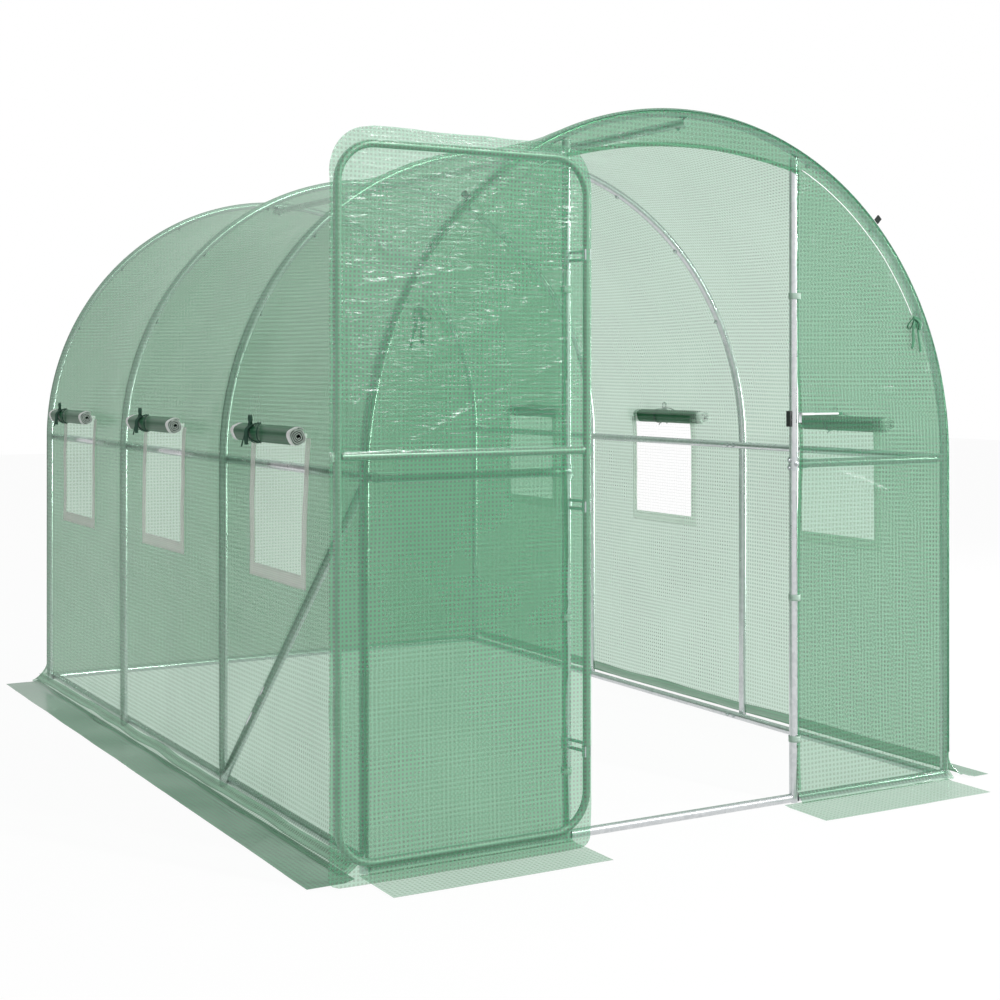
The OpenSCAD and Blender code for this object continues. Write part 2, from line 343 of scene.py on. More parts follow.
def smooth_path(marks: np.ndarray, count: int, closed: bool = False) -> np.ndarray:
    """Draws a smooth curve through marks.

    Args:
        marks: one row for each mark.
        count: points between two marks.
        closed: True to come back to the first mark.

    Returns:
        The points of the curve.
    """
    if closed:
        held = np.concatenate([marks[-1:], marks, marks[:2]])
    else:
        held = np.concatenate([2 * marks[:1] - marks[1:2], marks, 2 * marks[-1:] - marks[-2:-1]])
    out = []
    t = np.linspace(0, 1, count, endpoint=False)[:, None]
    for a, b, c, d in zip(held, held[1:], held[2:], held[3:]):
        out.append(0.5 * (2 * b + (c - a) * t + (2 * a - 5 * b + 4 * c - d) * t ** 2
                          + (3 * b - a - 3 * c + d) * t ** 3))
    out.append(held[-2][None, :])
    return np.concatenate(out)


def ribbon(marks: list[tuple[float, float, float]], across: tuple[float, float, float],
           width: float, thickness: float = 0.0, count: int = 5,
           closed: bool = False) -> bpy.types.Object:
    """Makes a flat tape along a smooth curve.

    Args:
        marks: places that the tape passes.
        across: direction of its width, made square to the curve.
        width: in metres.
        thickness: in metres, or 0 for a bare sheet.
        count: points between two marks.
        closed: True for a loop.

    Returns:
        The tape.
    """
    path = smooth_path(np.array(marks, dtype=float), count, closed)
    run = np.gradient(path, axis=0)
    run /= np.linalg.norm(run, axis=1, keepdims=True) + 1e-12
    wide = np.array(across, dtype=float) - run * (run @ np.array(across, dtype=float))[:, None]
    wide /= np.linalg.norm(wide, axis=1, keepdims=True) + 1e-9
    share = np.linspace(-0.5, 0.5, 4) * width
    points = path[:, None, :] + wide[:, None, :] * share[None, :, None]
    step = np.linalg.norm(np.diff(path, axis=0), axis=1)
    along = np.concatenate([[0.0], np.cumsum(step)])
    flat = np.stack(np.meshgrid(along, share, indexing="ij"), axis=-1)
    piece = grid_object("ribbon", points, flat)
    if closed:
        modify(piece, "WELD", merge_threshold=1e-5)
    if thickness:
        thicken(piece, thickness)
    return piece


def finish_piece(piece: bpy.types.Object, body: "Body", material: bpy.types.Material,
                 nodes: tuple[str, ...] = ()) -> bpy.types.Object:
    """Gives a piece its finish and body, and hides the CAD nodes that it stands for.

    Args:
        piece: the finished object.
        body: the body that carries it.
        material: its finish.
        nodes: CAD nodes that it replaces.

    Returns:
        The same object.
    """
    piece.data.materials.clear()
    piece.data.materials.append(material)
    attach(piece, body.value)
    if nodes:
        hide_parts(*nodes)
    LOG.info("%s: %d faces", piece.name, len(piece.data.polygons))
    return piece


class Body(Enum):
    """The two bodies of the greenhouse."""

    TUNNEL = "tunnel"
    DOOR = "door"


class Slot(Enum):
    """The record's material slots."""

    TUBE = "galvanised_tube"
    FITTING = "zinc_fittings"
    PLASTIC = "black_plastic"
    SHEET = "green_scrim_sheet"
    SKIRT = "green_skirt_sheet"
    NET = "white_net"
    BINDING = "grey_binding"
    ROLL = "dark_green_roll"
    WEBBING = "green_webbing"


class Side(Enum):
    """Left and right, seen from the door end."""

    LEFT = -1
    RIGHT = 1


# ---------------------------------------------------------------- finishes


@dataclass(frozen=True)
class Finish:
    """A finish with a name, made into a material by build."""

    name: str

    def shade(self, tree: bpy.types.NodeTree) -> bpy.types.NodeSocket:
        """Returns the shader socket of the finish."""
        raise NotImplementedError

    def build(self) -> bpy.types.Material:
        """Returns the material of this finish."""
        material = bpy.data.materials.new(self.name)
        material.use_nodes = True
        tree = material.node_tree
        tree.nodes.clear()
        add_node(tree, "ShaderNodeOutputMaterial", inputs={"Surface": self.shade(tree)})
        return material


@dataclass(frozen=True)
class ScrimSheet(Finish):
    """Woven polyethylene tape laminated in clear film.

    Green tape that glows where light comes through, greyish dots of film between the tapes, and
    short bright glints on the crinkles of the film. pitch is the spacing of the dots in metres,
    13.6 mm on the cover. Binding tape's own threads are about 1 mm apart, too fine to show, so
    they are drawn at 6 mm.
    """

    thread: str = "#349268"
    cell: str = "#595755"
    thread_glow: str = "#dcd5d8"
    cell_glow: str = "#a39b9f"
    passed: str = "#e0f4e6"
    cell_passed: str = "#daf5e1"
    solid_thread: float = 0.43
    solid_cell: float = 0.53
    pitch: float = 0.0136
    through: float = 0.30
    roughness: float = 0.20
    crinkle: float = 1.0
    crinkle_size: tuple[float, float] = (15.0, 120.0)

    def shade(self, tree: bpy.types.NodeTree) -> bpy.types.NodeSocket:
        """Returns clear film and woven tape mixed by a grid that follows the cloth."""
        flat = add_node(tree, "ShaderNodeTexCoord").outputs["UV"]
        cells = add_node(
            tree, "ShaderNodeTexVoronoi",
            {"voronoi_dimensions": "2D", "feature": "F1", "distance": "CHEBYCHEV"},
            {"Vector": flat, "Scale": 1 / self.pitch, "Randomness": 0.0})
        weave = add_node(
            tree, "ShaderNodeMapRange", {"interpolation_type": "SMOOTHSTEP"},
            {"Value": cells.outputs["Distance"], "From Min": 0.20, "From Max": 0.34}
        ).outputs["Result"]
        clouds = add_node(
            tree, "ShaderNodeTexNoise", {"noise_dimensions": "2D"},
            {"Vector": flat, "Scale": 3.1, "Detail": 3.0}).outputs["Fac"]
        solid = add_node(
            tree, "ShaderNodeMapRange", None,
            {"Value": weave, "To Min": self.solid_cell, "To Max": self.solid_thread}
        ).outputs["Result"]
        cloudy = add_node(
            tree, "ShaderNodeMapRange", None,
            {"Value": clouds, "From Min": 0.3, "From Max": 0.7, "To Min": 0.94, "To Max": 1.06}
        ).outputs["Result"]
        share = add_node(tree, "ShaderNodeMath", {"operation": "MULTIPLY"},
                         {0: solid, 1: cloudy}).outputs[0]
        colour = add_node(
            tree, "ShaderNodeMix", {"data_type": "RGBA"},
            {"Factor": weave, 6: linear(self.cell), 7: linear(self.thread)}).outputs[2]
        glowing = add_node(
            tree, "ShaderNodeMix", {"data_type": "RGBA"},
            {"Factor": weave, 6: linear(self.cell_glow), 7: linear(self.thread_glow)}).outputs[2]
        stretched = add_node(
            tree, "ShaderNodeMapping", None,
            {"Vector": flat, "Scale": (self.crinkle_size[0], self.crinkle_size[1], 1.0)}
        ).outputs["Vector"]
        wrinkles = add_node(
            tree, "ShaderNodeTexNoise", {"noise_dimensions": "2D"},
            {"Vector": stretched, "Scale": 1.0, "Detail": 3.0, "Distortion": 0.5}).outputs["Fac"]
        loose = add_node(tree, "ShaderNodeAttribute", {"attribute_name": "crinkle"}).outputs["Fac"]
        depth = add_node(tree, "ShaderNodeMath", {"operation": "MULTIPLY"},
                         {0: loose, 1: self.crinkle}).outputs[0]
        bump = add_node(
            tree, "ShaderNodeBump", None,
            {"Height": wrinkles, "Strength": depth, "Distance": 0.0034}).outputs["Normal"]
        film = add_node(
            tree, "ShaderNodeBsdfPrincipled", None,
            {"Base Color": colour, "Roughness": self.roughness, "Specular IOR Level": 0.42,
             "Normal": bump}).outputs[0]
        glow = add_node(tree, "ShaderNodeBsdfTranslucent", None, {"Color": glowing}).outputs[0]
        body = add_node(tree, "ShaderNodeMixShader", None,
                        {0: self.through, 1: film, 2: glow}).outputs[0]
        tint = add_node(
            tree, "ShaderNodeMix", {"data_type": "RGBA"},
            {"Factor": weave, 6: linear(self.cell_passed), 7: linear(self.passed)}).outputs[2]
        clear = add_node(tree, "ShaderNodeBsdfTransparent", None, {"Color": tint}).outputs[0]
        return add_node(tree, "ShaderNodeMixShader", None,
                        {0: share, 1: clear, 2: body}).outputs[0]


@dataclass(frozen=True)
class InsectNet(Finish):
    """Fine white polyester net: pale threads, mostly holes.

    Such net has holes of about 1 mm, too fine to show, so they are drawn at 11.5 mm.
    """

    thread: str = "#f6f8f7"
    pitch: float = 0.0115
    solid_thread: float = 0.17
    solid_cell: float = 0.0

    def shade(self, tree: bpy.types.NodeTree) -> bpy.types.NodeSocket:
        """Returns a pale grid over clear holes."""
        flat = add_node(tree, "ShaderNodeTexCoord").outputs["UV"]
        cells = add_node(
            tree, "ShaderNodeTexVoronoi",
            {"voronoi_dimensions": "2D", "feature": "F1", "distance": "CHEBYCHEV"},
            {"Vector": flat, "Scale": 1 / self.pitch, "Randomness": 0.0})
        share = add_node(
            tree, "ShaderNodeMapRange", {"interpolation_type": "SMOOTHSTEP"},
            {"Value": cells.outputs["Distance"], "From Min": 0.34, "From Max": 0.46,
             "To Min": self.solid_cell, "To Max": self.solid_thread}).outputs["Result"]
        cloth = add_node(tree, "ShaderNodeBsdfPrincipled", None,
                         {"Base Color": linear(self.thread), "Roughness": 0.75}).outputs[0]
        glow = add_node(tree, "ShaderNodeBsdfTranslucent", None,
                        {"Color": linear(self.thread)}).outputs[0]
        body = add_node(tree, "ShaderNodeMixShader", None, {0: 0.4, 1: cloth, 2: glow}).outputs[0]
        clear = add_node(tree, "ShaderNodeBsdfTransparent").outputs[0]
        return add_node(tree, "ShaderNodeMixShader", None,
                        {0: share, 1: clear, 2: body}).outputs[0]


@dataclass(frozen=True)
class GalvanisedTube(Finish):
    """Zinc-dipped steel tube: mid-grey metal with a faint spangle and drawn streaks."""

    light: str = "#d3d6d7"
    dark: str = "#b0b5b7"
    roughness: float = 0.27

    def shade(self, tree: bpy.types.NodeTree) -> bpy.types.NodeSocket:
        """Returns spangled metal."""
        place = add_node(tree, "ShaderNodeTexCoord").outputs["Object"]
        spangle = add_node(tree, "ShaderNodeTexVoronoi", {"feature": "F1"},
                           {"Vector": place, "Scale": 95.0}).outputs["Color"]
        grey = add_node(tree, "ShaderNodeRGBToBW", None, {"Color": spangle}).outputs[0]
        stain = add_node(tree, "ShaderNodeTexNoise", None,
                         {"Vector": place, "Scale": 9.0, "Detail": 4.0}).outputs["Fac"]
        mixed = add_node(tree, "ShaderNodeMath", {"operation": "MULTIPLY"},
                         {0: grey, 1: stain}).outputs[0]
        colour = add_node(
            tree, "ShaderNodeMix", {"data_type": "RGBA"},
            {"Factor": mixed, 6: linear(self.light), 7: linear(self.dark)}).outputs[2]
        rough = add_node(
            tree, "ShaderNodeMapRange", None,
            {"Value": stain, "To Min": self.roughness - 0.07, "To Max": self.roughness + 0.09}
        ).outputs["Result"]
        return add_node(tree, "ShaderNodeBsdfPrincipled", None,
                        {"Base Color": colour, "Metallic": 1.0, "Roughness": rough}).outputs[0]


@dataclass(frozen=True)
class PlainFinish(Finish):
    """A dull solid colour with a fine grain: moulded plastic, tape or webbing."""

    colour: str = "#202423"
    second: str = "#2b302f"
    roughness: float = 0.55
    metallic: float = 0.0
    grain: float = 600.0
    depth: float = 0.25

    def shade(self, tree: bpy.types.NodeTree) -> bpy.types.NodeSocket:
        """Returns one shader with a mottled colour and a fine bump."""
        place = add_node(tree, "ShaderNodeTexCoord").outputs["Object"]
        fine = add_node(tree, "ShaderNodeTexNoise", None,
                        {"Vector": place, "Scale": self.grain, "Detail": 2.0}).outputs["Fac"]
        broad = add_node(tree, "ShaderNodeTexNoise", None,
                         {"Vector": place, "Scale": self.grain / 12, "Detail": 3.0}).outputs["Fac"]
        colour = add_node(
            tree, "ShaderNodeMix", {"data_type": "RGBA"},
            {"Factor": broad, 6: linear(self.colour), 7: linear(self.second)}).outputs[2]
        bump = add_node(tree, "ShaderNodeBump", None,
                        {"Height": fine, "Strength": self.depth, "Distance": 0.0005}
                        ).outputs["Normal"]
        return add_node(tree, "ShaderNodeBsdfPrincipled", None,
                        {"Base Color": colour, "Metallic": self.metallic,
                         "Roughness": self.roughness, "Normal": bump}).outputs[0]


@dataclass(frozen=True)
class RolledSheet(Finish):
    """The window flap rolled up: layers of green laminate between its pale binding at both ends."""

    green: str = "#1e5a3a"
    thread: str = "#2b6a47"
    tape: str = "#f2f3f2"
    # Near black: painted shade in the gaps between the inner turns at the roll's ends.
    hollow: str = "#0c0e0d"
    rim: str = "#e6e8e7"
    length: float = 0.44
    tape_w: float = 0.024
    outer_turn: float = 0.19
    pitch: float = 0.0095

    def shade(self, tree: bpy.types.NodeTree) -> bpy.types.NodeSocket:
        """Returns green laminate with a pale band at each end: tape on the outer turn, near black
        on the inner turns as painted shade between the layers.
        """
        flat = add_node(tree, "ShaderNodeTexCoord").outputs["UV"]
        along = add_node(tree, "ShaderNodeSeparateXYZ", None, {"Vector": flat}).outputs["X"]
        middle = add_node(tree, "ShaderNodeMath", {"operation": "SUBTRACT"},
                          {0: along, 1: self.length / 2}).outputs[0]
        out = add_node(tree, "ShaderNodeMath", {"operation": "ABSOLUTE"}, {0: middle}).outputs[0]
        band = add_node(
            tree, "ShaderNodeMapRange", None,
            {"Value": out, "From Min": self.length / 2 - self.tape_w,
             "From Max": self.length / 2 - self.tape_w + 0.001}).outputs["Result"]
        cells = add_node(
            tree, "ShaderNodeTexVoronoi",
            {"voronoi_dimensions": "2D", "feature": "F1", "distance": "CHEBYCHEV"},
            {"Vector": flat, "Scale": 1 / self.pitch, "Randomness": 0.0})
        weave = add_node(
            tree, "ShaderNodeMapRange", None,
            {"Value": cells.outputs["Distance"], "From Min": 0.30, "From Max": 0.42}
        ).outputs["Result"]
        sheet = add_node(
            tree, "ShaderNodeMix", {"data_type": "RGBA"},
            {"Factor": weave, 6: linear(self.green), 7: linear(self.thread)}).outputs[2]
        wound = add_node(tree, "ShaderNodeSeparateXYZ", None, {"Vector": flat}).outputs["Y"]
        outer = add_node(tree, "ShaderNodeMath", {"operation": "GREATER_THAN"},
                         {0: wound, 1: self.outer_turn}).outputs[0]
        # Inside the band the outer turn gets the tape and the inner turns the near-black colour,
        # which is painted shade between the layers.
        tape_or_gap_shade = add_node(
            tree, "ShaderNodeMix", {"data_type": "RGBA"},
            {"Factor": outer, 6: linear(self.hollow), 7: linear(self.tape)}).outputs[2]
        edge = add_node(tree, "ShaderNodeMath", {"operation": "GREATER_THAN"},
                        {0: out, 1: self.length / 2 - 0.0004}).outputs[0]
        cut = add_node(
            tree, "ShaderNodeMix", {"data_type": "RGBA"},
            {"Factor": edge, 6: tape_or_gap_shade, 7: linear(self.rim)}).outputs[2]
        colour = add_node(
            tree, "ShaderNodeMix", {"data_type": "RGBA"},
            {"Factor": band, 6: sheet, 7: cut}).outputs[2]
        return add_node(tree, "ShaderNodeBsdfPrincipled", None,
                        {"Base Color": colour, "Roughness": 0.42,
                         "Specular IOR Level": 0.3}).outputs[0]


# ---------------------------------------------------------------- layout


@dataclass(frozen=True)
class Layout:
    """Where the CAD puts the main lines of the greenhouse, in metres."""

    radius: float
    tube_r: float
    leg_h: float
    hoops: tuple[float, ...]
    post_x: float
    rail_x: float
    door_lo: Vector
    door_hi: Vector

    @classmethod
    def read(cls) -> "Layout":
        """Returns the layout measured on the CAD nodes."""
        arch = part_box("second_arch")[1]
        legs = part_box("front_legs")
        hoops = []
        for node in ("front_arch", "second_arch", "third_arch", "back_arch"):
            lo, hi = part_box(node)
            hoops.append((lo[1] + hi[1]) / 2)
        post_lo, post_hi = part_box("right_door_post")
        rail_lo, rail_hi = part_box("right_purlin")
        door_lo, door_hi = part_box("door_frame")
        return cls(radius=arch[0] + 0.0010, tube_r=(post_hi[0] - post_lo[0]) / 2,
                   leg_h=legs[1][2], hoops=tuple(hoops), post_x=(post_lo[0] + post_hi[0]) / 2,
                   rail_x=(rail_lo[0] + rail_hi[0]) / 2,
                   door_lo=Vector(door_lo), door_hi=Vector(door_hi))


@dataclass(frozen=True)
class Window:
    """The size and place of the roll-up windows, in metres."""

    width: float = 0.36
    sill: float = 0.705
    head: float = 1.088
    border: float = 0.030
    roll_z: float = 1.080
    roll_r: float = 0.026
    roll_l: float = 0.44
    left_shift: float = 0.043

    def middles(self, side: Side, layout: Layout) -> list[float]:
        """Returns the middle of each window along one wall.

        Args:
            side: the wall.
            layout: the main lines.
        """
        shift = self.left_shift if side is Side.LEFT else 0.0
        return [(a + b) / 2 + shift for a, b in zip(layout.hoops, layout.hoops[1:])]


# ---------------------------------------------------------------- the tunnel's cover


@dataclass
class TunnelCover:
    """The one sheet that goes from the ground over all four hoops to the ground."""

    layout: Layout
    window: Window
    flare: float = 0.058
    flare_h: float = 0.066
    step: float = 0.014
    wrap: float = 0.0135

    def half(self) -> float:
        """Returns the length of sheet from the ground up to the crown."""
        return self.layout.leg_h + self.layout.radius * math.pi / 2

    def sag(self, height: np.ndarray, y: np.ndarray, left: np.ndarray) -> np.ndarray:
        """Returns how far the sheet hangs in between the hoops.

        Args:
            height: distance from the ground along the sheet.
            y: place along the tunnel.
            left: True where the point is on the left half.
        """
        depth = np.interp(height, [0.07, 0.40, 0.95, 1.45, 2.0, 2.35, self.half()],
                          [0.0, 0.005, 0.009, 0.019, 0.026, 0.023, 0.018])
        shape = np.zeros(np.broadcast(height, y).shape)
        for a, b in zip(self.layout.hoops, self.layout.hoops[1:]):
            t = np.clip((y - a - 0.008) / (b - a - 0.016), 0, 1)
            shape = shape + 4 * t * (1 - t)
        low_y, high_y = self.layout.hoops[1], self.layout.hoops[0]
        along = np.clip((y - low_y) / (high_y - low_y), 0, 1)
        gap = np.abs(height - (0.02 + 0.95 * along)) * 0.72
        held = np.where(left & (height < 1.1) & (y < low_y), ramp(gap, 0.012, 0.30), 1.0)
        return depth * shape * held

    def ripples(self, height: np.ndarray, y: np.ndarray, left: np.ndarray) -> np.ndarray:
        """Returns the small outward and inward waves of a sheet pulled over hoops.

        Args:
            height: distance from the ground along the sheet.
            y: place along the tunnel.
            left: True where the point is on the left half.
        """
        gap = np.min([np.abs(y - h) for h in self.layout.hoops], axis=0)
        free = ramp(gap, 0.012, 0.10)
        signed = np.where(left, -height, height)
        soft = 0.0016 * ripple(signed, y, 0.11, 0.34, 3) + 0.0009 * ripple(signed, y, 0.05, 0.16, 4)
        pulls = 0.0022 * crease(signed, y, 0.10, 0.60, 5, 5.0) * np.exp(-((gap - 0.06) / 0.10) ** 2)
        high = ramp(height, 0.10, 0.30)
        return (soft * free - pulls * free) * high

    def surface(self, height: np.ndarray, y: np.ndarray, left: np.ndarray,
                lift: float = 0.0) -> np.ndarray:
        """Places points of the sheet.

        Args:
            height: distance from the ground along the sheet.
            y: place along the tunnel; past an end hoop it goes round the tube.
            left: True where the point is on the left half.
            lift: how far outside the sheet the points lie.

        Returns:
            The points, in metres.
        """
        height, y, left = np.broadcast_arrays(height, y, left)
        lay = self.layout
        end = lay.hoops[-1]
        over = np.clip(np.abs(y) - end, 0, None) / self.wrap
        pull = self.sag(height, y, left) + self.ripples(height, y, left)
        core = lay.radius - self.wrap
        rim = core + (self.wrap + lift) * np.cos(over)
        rim = np.where(over > 0, rim, lay.radius + lift - pull)
        along = np.where(over > 0, np.sign(y) * (end + (self.wrap + lift) * np.sin(over)), y)
        turn = np.clip(height - lay.leg_h, 0, None) / lay.radius
        t = np.clip(1 - height / self.flare_h, 0, 1)
        out = self.flare * t ** 1.5
        waves = 0.006 * ripple(y, y * 0, 0.19, 1.0, 11) * t
        x = rim * np.cos(turn) + out + waves
        z = np.where(height < lay.leg_h, height, lay.leg_h + rim * np.sin(turn))
        z = np.where(t > 0, 0.0035 + (self.flare_h - 0.0035) * (1 - t) ** 1.25, z)
        return np.stack([np.where(left, -x, x), along, z], axis=-1)

    def build(self, material: bpy.types.Material,
              doubled: bpy.types.Material) -> bpy.types.Object:
        """Makes the sheet with its six window holes.

        Args:
            material: the sheet's finish.
            doubled: finish of the tuck along the right wall.

        Returns:
            The sheet.
        """
        lay, win = self.layout, self.window
        head = lay.leg_h + lay.radius * math.asin((win.head - lay.leg_h) / lay.radius)
        climb = spaced(0.0, self.half(), self.step,
                       (0.02, 0.04, self.flare_h, win.sill, lay.leg_h, head))
        climb = np.unique(np.concatenate([climb, np.linspace(0, self.flare_h, 9)]))
        path = np.concatenate([climb, 2 * self.half() - climb[-2::-1]])
        edges = [m + s * win.width / 2 for side in Side for m in win.middles(side, lay)
                 for s in (-1, 1)]
        end = lay.hoops[-1] + self.wrap * math.pi / 2
        marks = edges + [h + d for h in lay.hoops for d in (-0.008, 0.0, 0.008)]
        marks += [s * (lay.hoops[-1] + self.wrap * k * math.pi / 8) for s in (-1, 1)
                  for k in (1, 2, 3)]
        along = spaced(-end, end, 0.019, tuple(marks))
        rows, cols = np.meshgrid(path, along, indexing="ij")
        left = rows < self.half()
        height = np.minimum(rows, 2 * self.half() - rows)
        points = self.surface(height, cols, left)
        mid_h = (height[:-1, :-1] + height[1:, 1:]) / 2
        mid_y = (cols[:-1, :-1] + cols[1:, 1:]) / 2
        keep = np.ones(mid_h.shape, dtype=bool)
        for side in Side:
            on_side = left[:-1, :-1] if side is Side.LEFT else ~left[:-1, :-1]
            for middle in win.middles(side, lay):
                keep &= ~(on_side & (mid_h > win.sill) & (mid_h < head)
                          & (np.abs(mid_y - middle) < win.width / 2))
        piece = grid_object("tunnel_cover", points, np.stack([cols, rows], axis=-1), keep)
        finish_piece(piece, Body.TUNNEL, material,
                     ("roof_cover", "left_wall_cover", "right_wall_cover"))
        folds = [self.fold(Side.LEFT, material, 0.014, 0.036),
                 self.fold(Side.RIGHT, doubled, 0.004, 0.056)]
        return piece

    def fold(self, side: Side, material: bpy.types.Material, low: float,
             high: float) -> bpy.types.Object:
        """Makes the tuck of doubled sheet that runs along the foot of one wall.

        Args:
            side: the wall.
            material: the tuck's finish.
            low: its lower edge, along the sheet from the ground.
            high: its upper edge.

        Returns:
            The tuck.
        """
        rows, cols = np.meshgrid(spaced(low, high, 0.003),
                                 spaced(self.layout.hoops[0], self.layout.hoops[-1], 0.02),
                                 indexing="ij")
        waver = 0.004 * ripple(cols, rows * 0, 0.23, 1.0, 14)
        points = self.surface(rows + waver, cols, np.full(rows.shape, side is Side.LEFT), -0.0016)
        points[..., 2] = np.maximum(points[..., 2], 0.0012)
        piece = grid_object(f"base_tuck_{side.name.lower()}", points,
                            np.stack([cols, rows], axis=-1), turn=side is Side.RIGHT)
        return finish_piece(piece, Body.TUNNEL, material)


@dataclass
class EndSheets:
    """The flat sheets at both ends: the back wall, and the front with its doorway."""

    layout: Layout
    cover: TunnelCover
    panel_x: float = 0.392
    slack: float = 0.009
    hem_w: float = 0.012
    crown: float = 1.878
    rise: float = 0.051
    seam_r: float = 0.9905
    marks: tuple[tuple[float, float, float, float, float], ...] = (
        (0.530, 0.962, 0.765, 0.883, 0.0048), (0.850, 1.262, 0.925, 1.250, 0.0040),
        (0.640, 1.520, 0.715, 1.505, 0.0036),
    )

    def front_y(self) -> float:
        """Returns the plane of the front sheet."""
        return self.layout.hoops[0] - self.layout.tube_r - 0.0022

    def doorway(self, angle: np.ndarray) -> tuple[np.ndarray, np.ndarray]:
        """Finds the doorway's edge in a direction from the middle of the hoop.

        Args:
            angle: direction from the left side over the top, 0 to pi.

        Returns:
            X and Z of the edge.
        """
        radius = (self.panel_x ** 2 + self.rise ** 2) / (2 * self.rise)
        low = self.crown - radius - self.layout.leg_h
        dx, dz = -np.cos(angle), np.sin(angle)
        side = self.panel_x / np.maximum(np.abs(dx), 1e-6)
        top = low * dz + np.sqrt(np.maximum(radius ** 2 - (low * dx) ** 2, 0))
        reach = np.minimum(side, top)
        return reach * dx, self.layout.leg_h + reach * dz

    def front(self, material: bpy.types.Material) -> bpy.types.Object:
        """Makes the front sheet: both panels and the band over the doorway.

        Args:
            material: the sheet's finish.

        Returns:
            The sheet.
        """
        lay = self.layout
        corner = math.atan2(self.crown - self.rise - lay.leg_h, self.panel_x)
        low = spaced(0.0, lay.leg_h, 0.0072)
        turn = spaced(0.0, math.pi, 0.013, (corner, math.pi / 2, math.pi - corner))
        across = np.linspace(0, 1, 84)
        wall_in = np.stack([np.full_like(low, -self.panel_x), low], axis=-1)
        wall_out = np.stack([np.full_like(low, -self.seam_r), low], axis=-1)
        edge_x, edge_z = self.doorway(turn)
        arch_in = np.stack([edge_x, edge_z], axis=-1)
        arch_out = np.stack([-self.seam_r * np.cos(turn),
                             lay.leg_h + self.seam_r * np.sin(turn)], axis=-1)
        mirror = np.array([-1.0, 1.0])
        inner = np.concatenate([wall_in[:-1], arch_in, (wall_in[:-1] * mirror)[::-1]])
        outer = np.concatenate([wall_out[:-1], arch_out, (wall_out[:-1] * mirror)[::-1]])
        inner[:, 0] += (np.sign(inner[:, 0]) * self.slack * (np.abs(inner[:, 0]) > 0.3)
                        * np.exp(-((inner[:, 1] - 1.06) / 0.17) ** 2))
        flat = inner[:, None] * (1 - across[None, :, None]) + outer[:, None] * across[None, :, None]
        x, z = flat[..., 0], flat[..., 1]
        points = np.stack([x, self.front_y() - self.puff(x, z), z], axis=-1)
        foot = ramp(z, 0.035, 0.0)
        points[..., 1] -= 0.022 * foot ** 1.5
        points[..., 2] = np.where(z < 0.035, 0.003 + z * 0.914, z)
        piece = grid_object("front_sheet", points, flat)
        finish_piece(piece, Body.TUNNEL, material,
                     ("front_cover_left", "front_cover_right", "front_cover_top"))
        hem_flat = inner[:, None] + (outer - inner)[:, None] * (
            np.linspace(0, 1, 3)[None, :, None] * self.hem_w
            / np.linalg.norm(outer - inner, axis=1)[:, None, None])
        hem_x, hem_z = hem_flat[..., 0], np.maximum(hem_flat[..., 1], 0.036)
        hem_y = self.front_y() - self.puff(hem_x, hem_z) - 0.0012
        hem = grid_object("doorway_hem", np.stack([hem_x, hem_y, hem_z], axis=-1), hem_flat)
        finish_piece(hem, Body.TUNNEL, material)
        return piece

    def puff(self, x: np.ndarray, z: np.ndarray) -> np.ndarray:
        """Returns how far the front sheet stands out from its plane.

        Args:
            x: place across.
            z: height.
        """
        lay = self.layout
        rim = np.hypot(x, np.clip(z - lay.leg_h, 0, None))
        tube_gap = np.min([np.abs(lay.rail_x - np.abs(x)) + (z > lay.leg_h + 0.1) * 1.0,
                           np.abs(z - 0.985), np.abs(rim - 0.986), np.abs(z - 0.0125)], axis=0)
        free = ramp(tube_gap, 0.012, 0.09)
        hollow = -0.006 * ramp(tube_gap, 0.02, 0.25)
        soft = 0.0022 * ripple(x, z, 0.10, 0.26, 21) + 0.0012 * ripple(x, z, 0.035, 0.12, 22)
        folds = 0.0035 * crease(x + 0.5 * z, z - 0.3 * x, 0.50, 0.10, 23, 9.0)
        band = ramp(z, 1.62, 1.80)
        crinkle = 0.0016 * band * crease(np.arctan2(z - lay.leg_h, x), rim, 0.10, 0.012, 24, 3.0)
        sharp = np.zeros_like(free)
        for x0, z0, x1, z1, height in self.marks:
            length = math.hypot(x1 - x0, z1 - z0)
            dx, dz = (x1 - x0) / length, (z1 - z0) / length
            along = (x - x0) * dx + (z - z0) * dz
            away = (z - z0) * dx - (x - x0) * dz + 0.003 * ripple(x, z * 0, 0.05, 1.0, 25)
            ends = ramp(along, 0.0, 0.03) * ramp(along, length, length - 0.04)
            sharp = sharp + height * ends * np.exp(-(away / (height * 2.3)) ** 2)
        return 0.0012 + (hollow + soft + folds) * free + crinkle * free + sharp

    def back(self, material: bpy.types.Material) -> bpy.types.Object:
        """Makes the back wall.

        Args:
            material: the sheet's finish.

        Returns:
            The sheet.
        """
        lay = self.layout
        low = spaced(0.0, lay.leg_h, 0.02)
        turn = spaced(0.0, math.pi / 2, 0.018)
        z = np.concatenate([low[:-1], lay.leg_h + self.seam_r * np.sin(turn)])
        reach = np.concatenate([np.full(len(low) - 1, self.seam_r), self.seam_r * np.cos(turn)])
        across = np.linspace(1, -1, 101)
        x = reach[:, None] * across[None, :]
        zz = np.repeat(z[:, None], 101, axis=1)
        plane = -self.front_y()
        depth = self.puff(np.where(np.abs(x) < 0.02, 0.02, x), zz)
        tube = ramp(zz, 0.06, 0.02)
        points = np.stack([x, plane + depth + 0.02 * tube ** 1.5, np.maximum(zz, 0.003)], axis=-1)
        piece = grid_object("back_sheet", points, np.stack([x, zz], axis=-1))
        work = bmesh.new()
        work.from_mesh(piece.data)
        bmesh.ops.remove_doubles(work, verts=work.verts, dist=1e-5)
        work.to_mesh(piece.data)
        work.free()
        finish_piece(piece, Body.TUNNEL, material, ("back_cover",))
        return piece


@dataclass(frozen=True)
class Strip:
    """One skirt on the ground: its corners, the edge that is sewn on and the node it stands for."""

    name: str
    low: tuple[float, float]
    high: tuple[float, float]
    sewn: str
    node: str


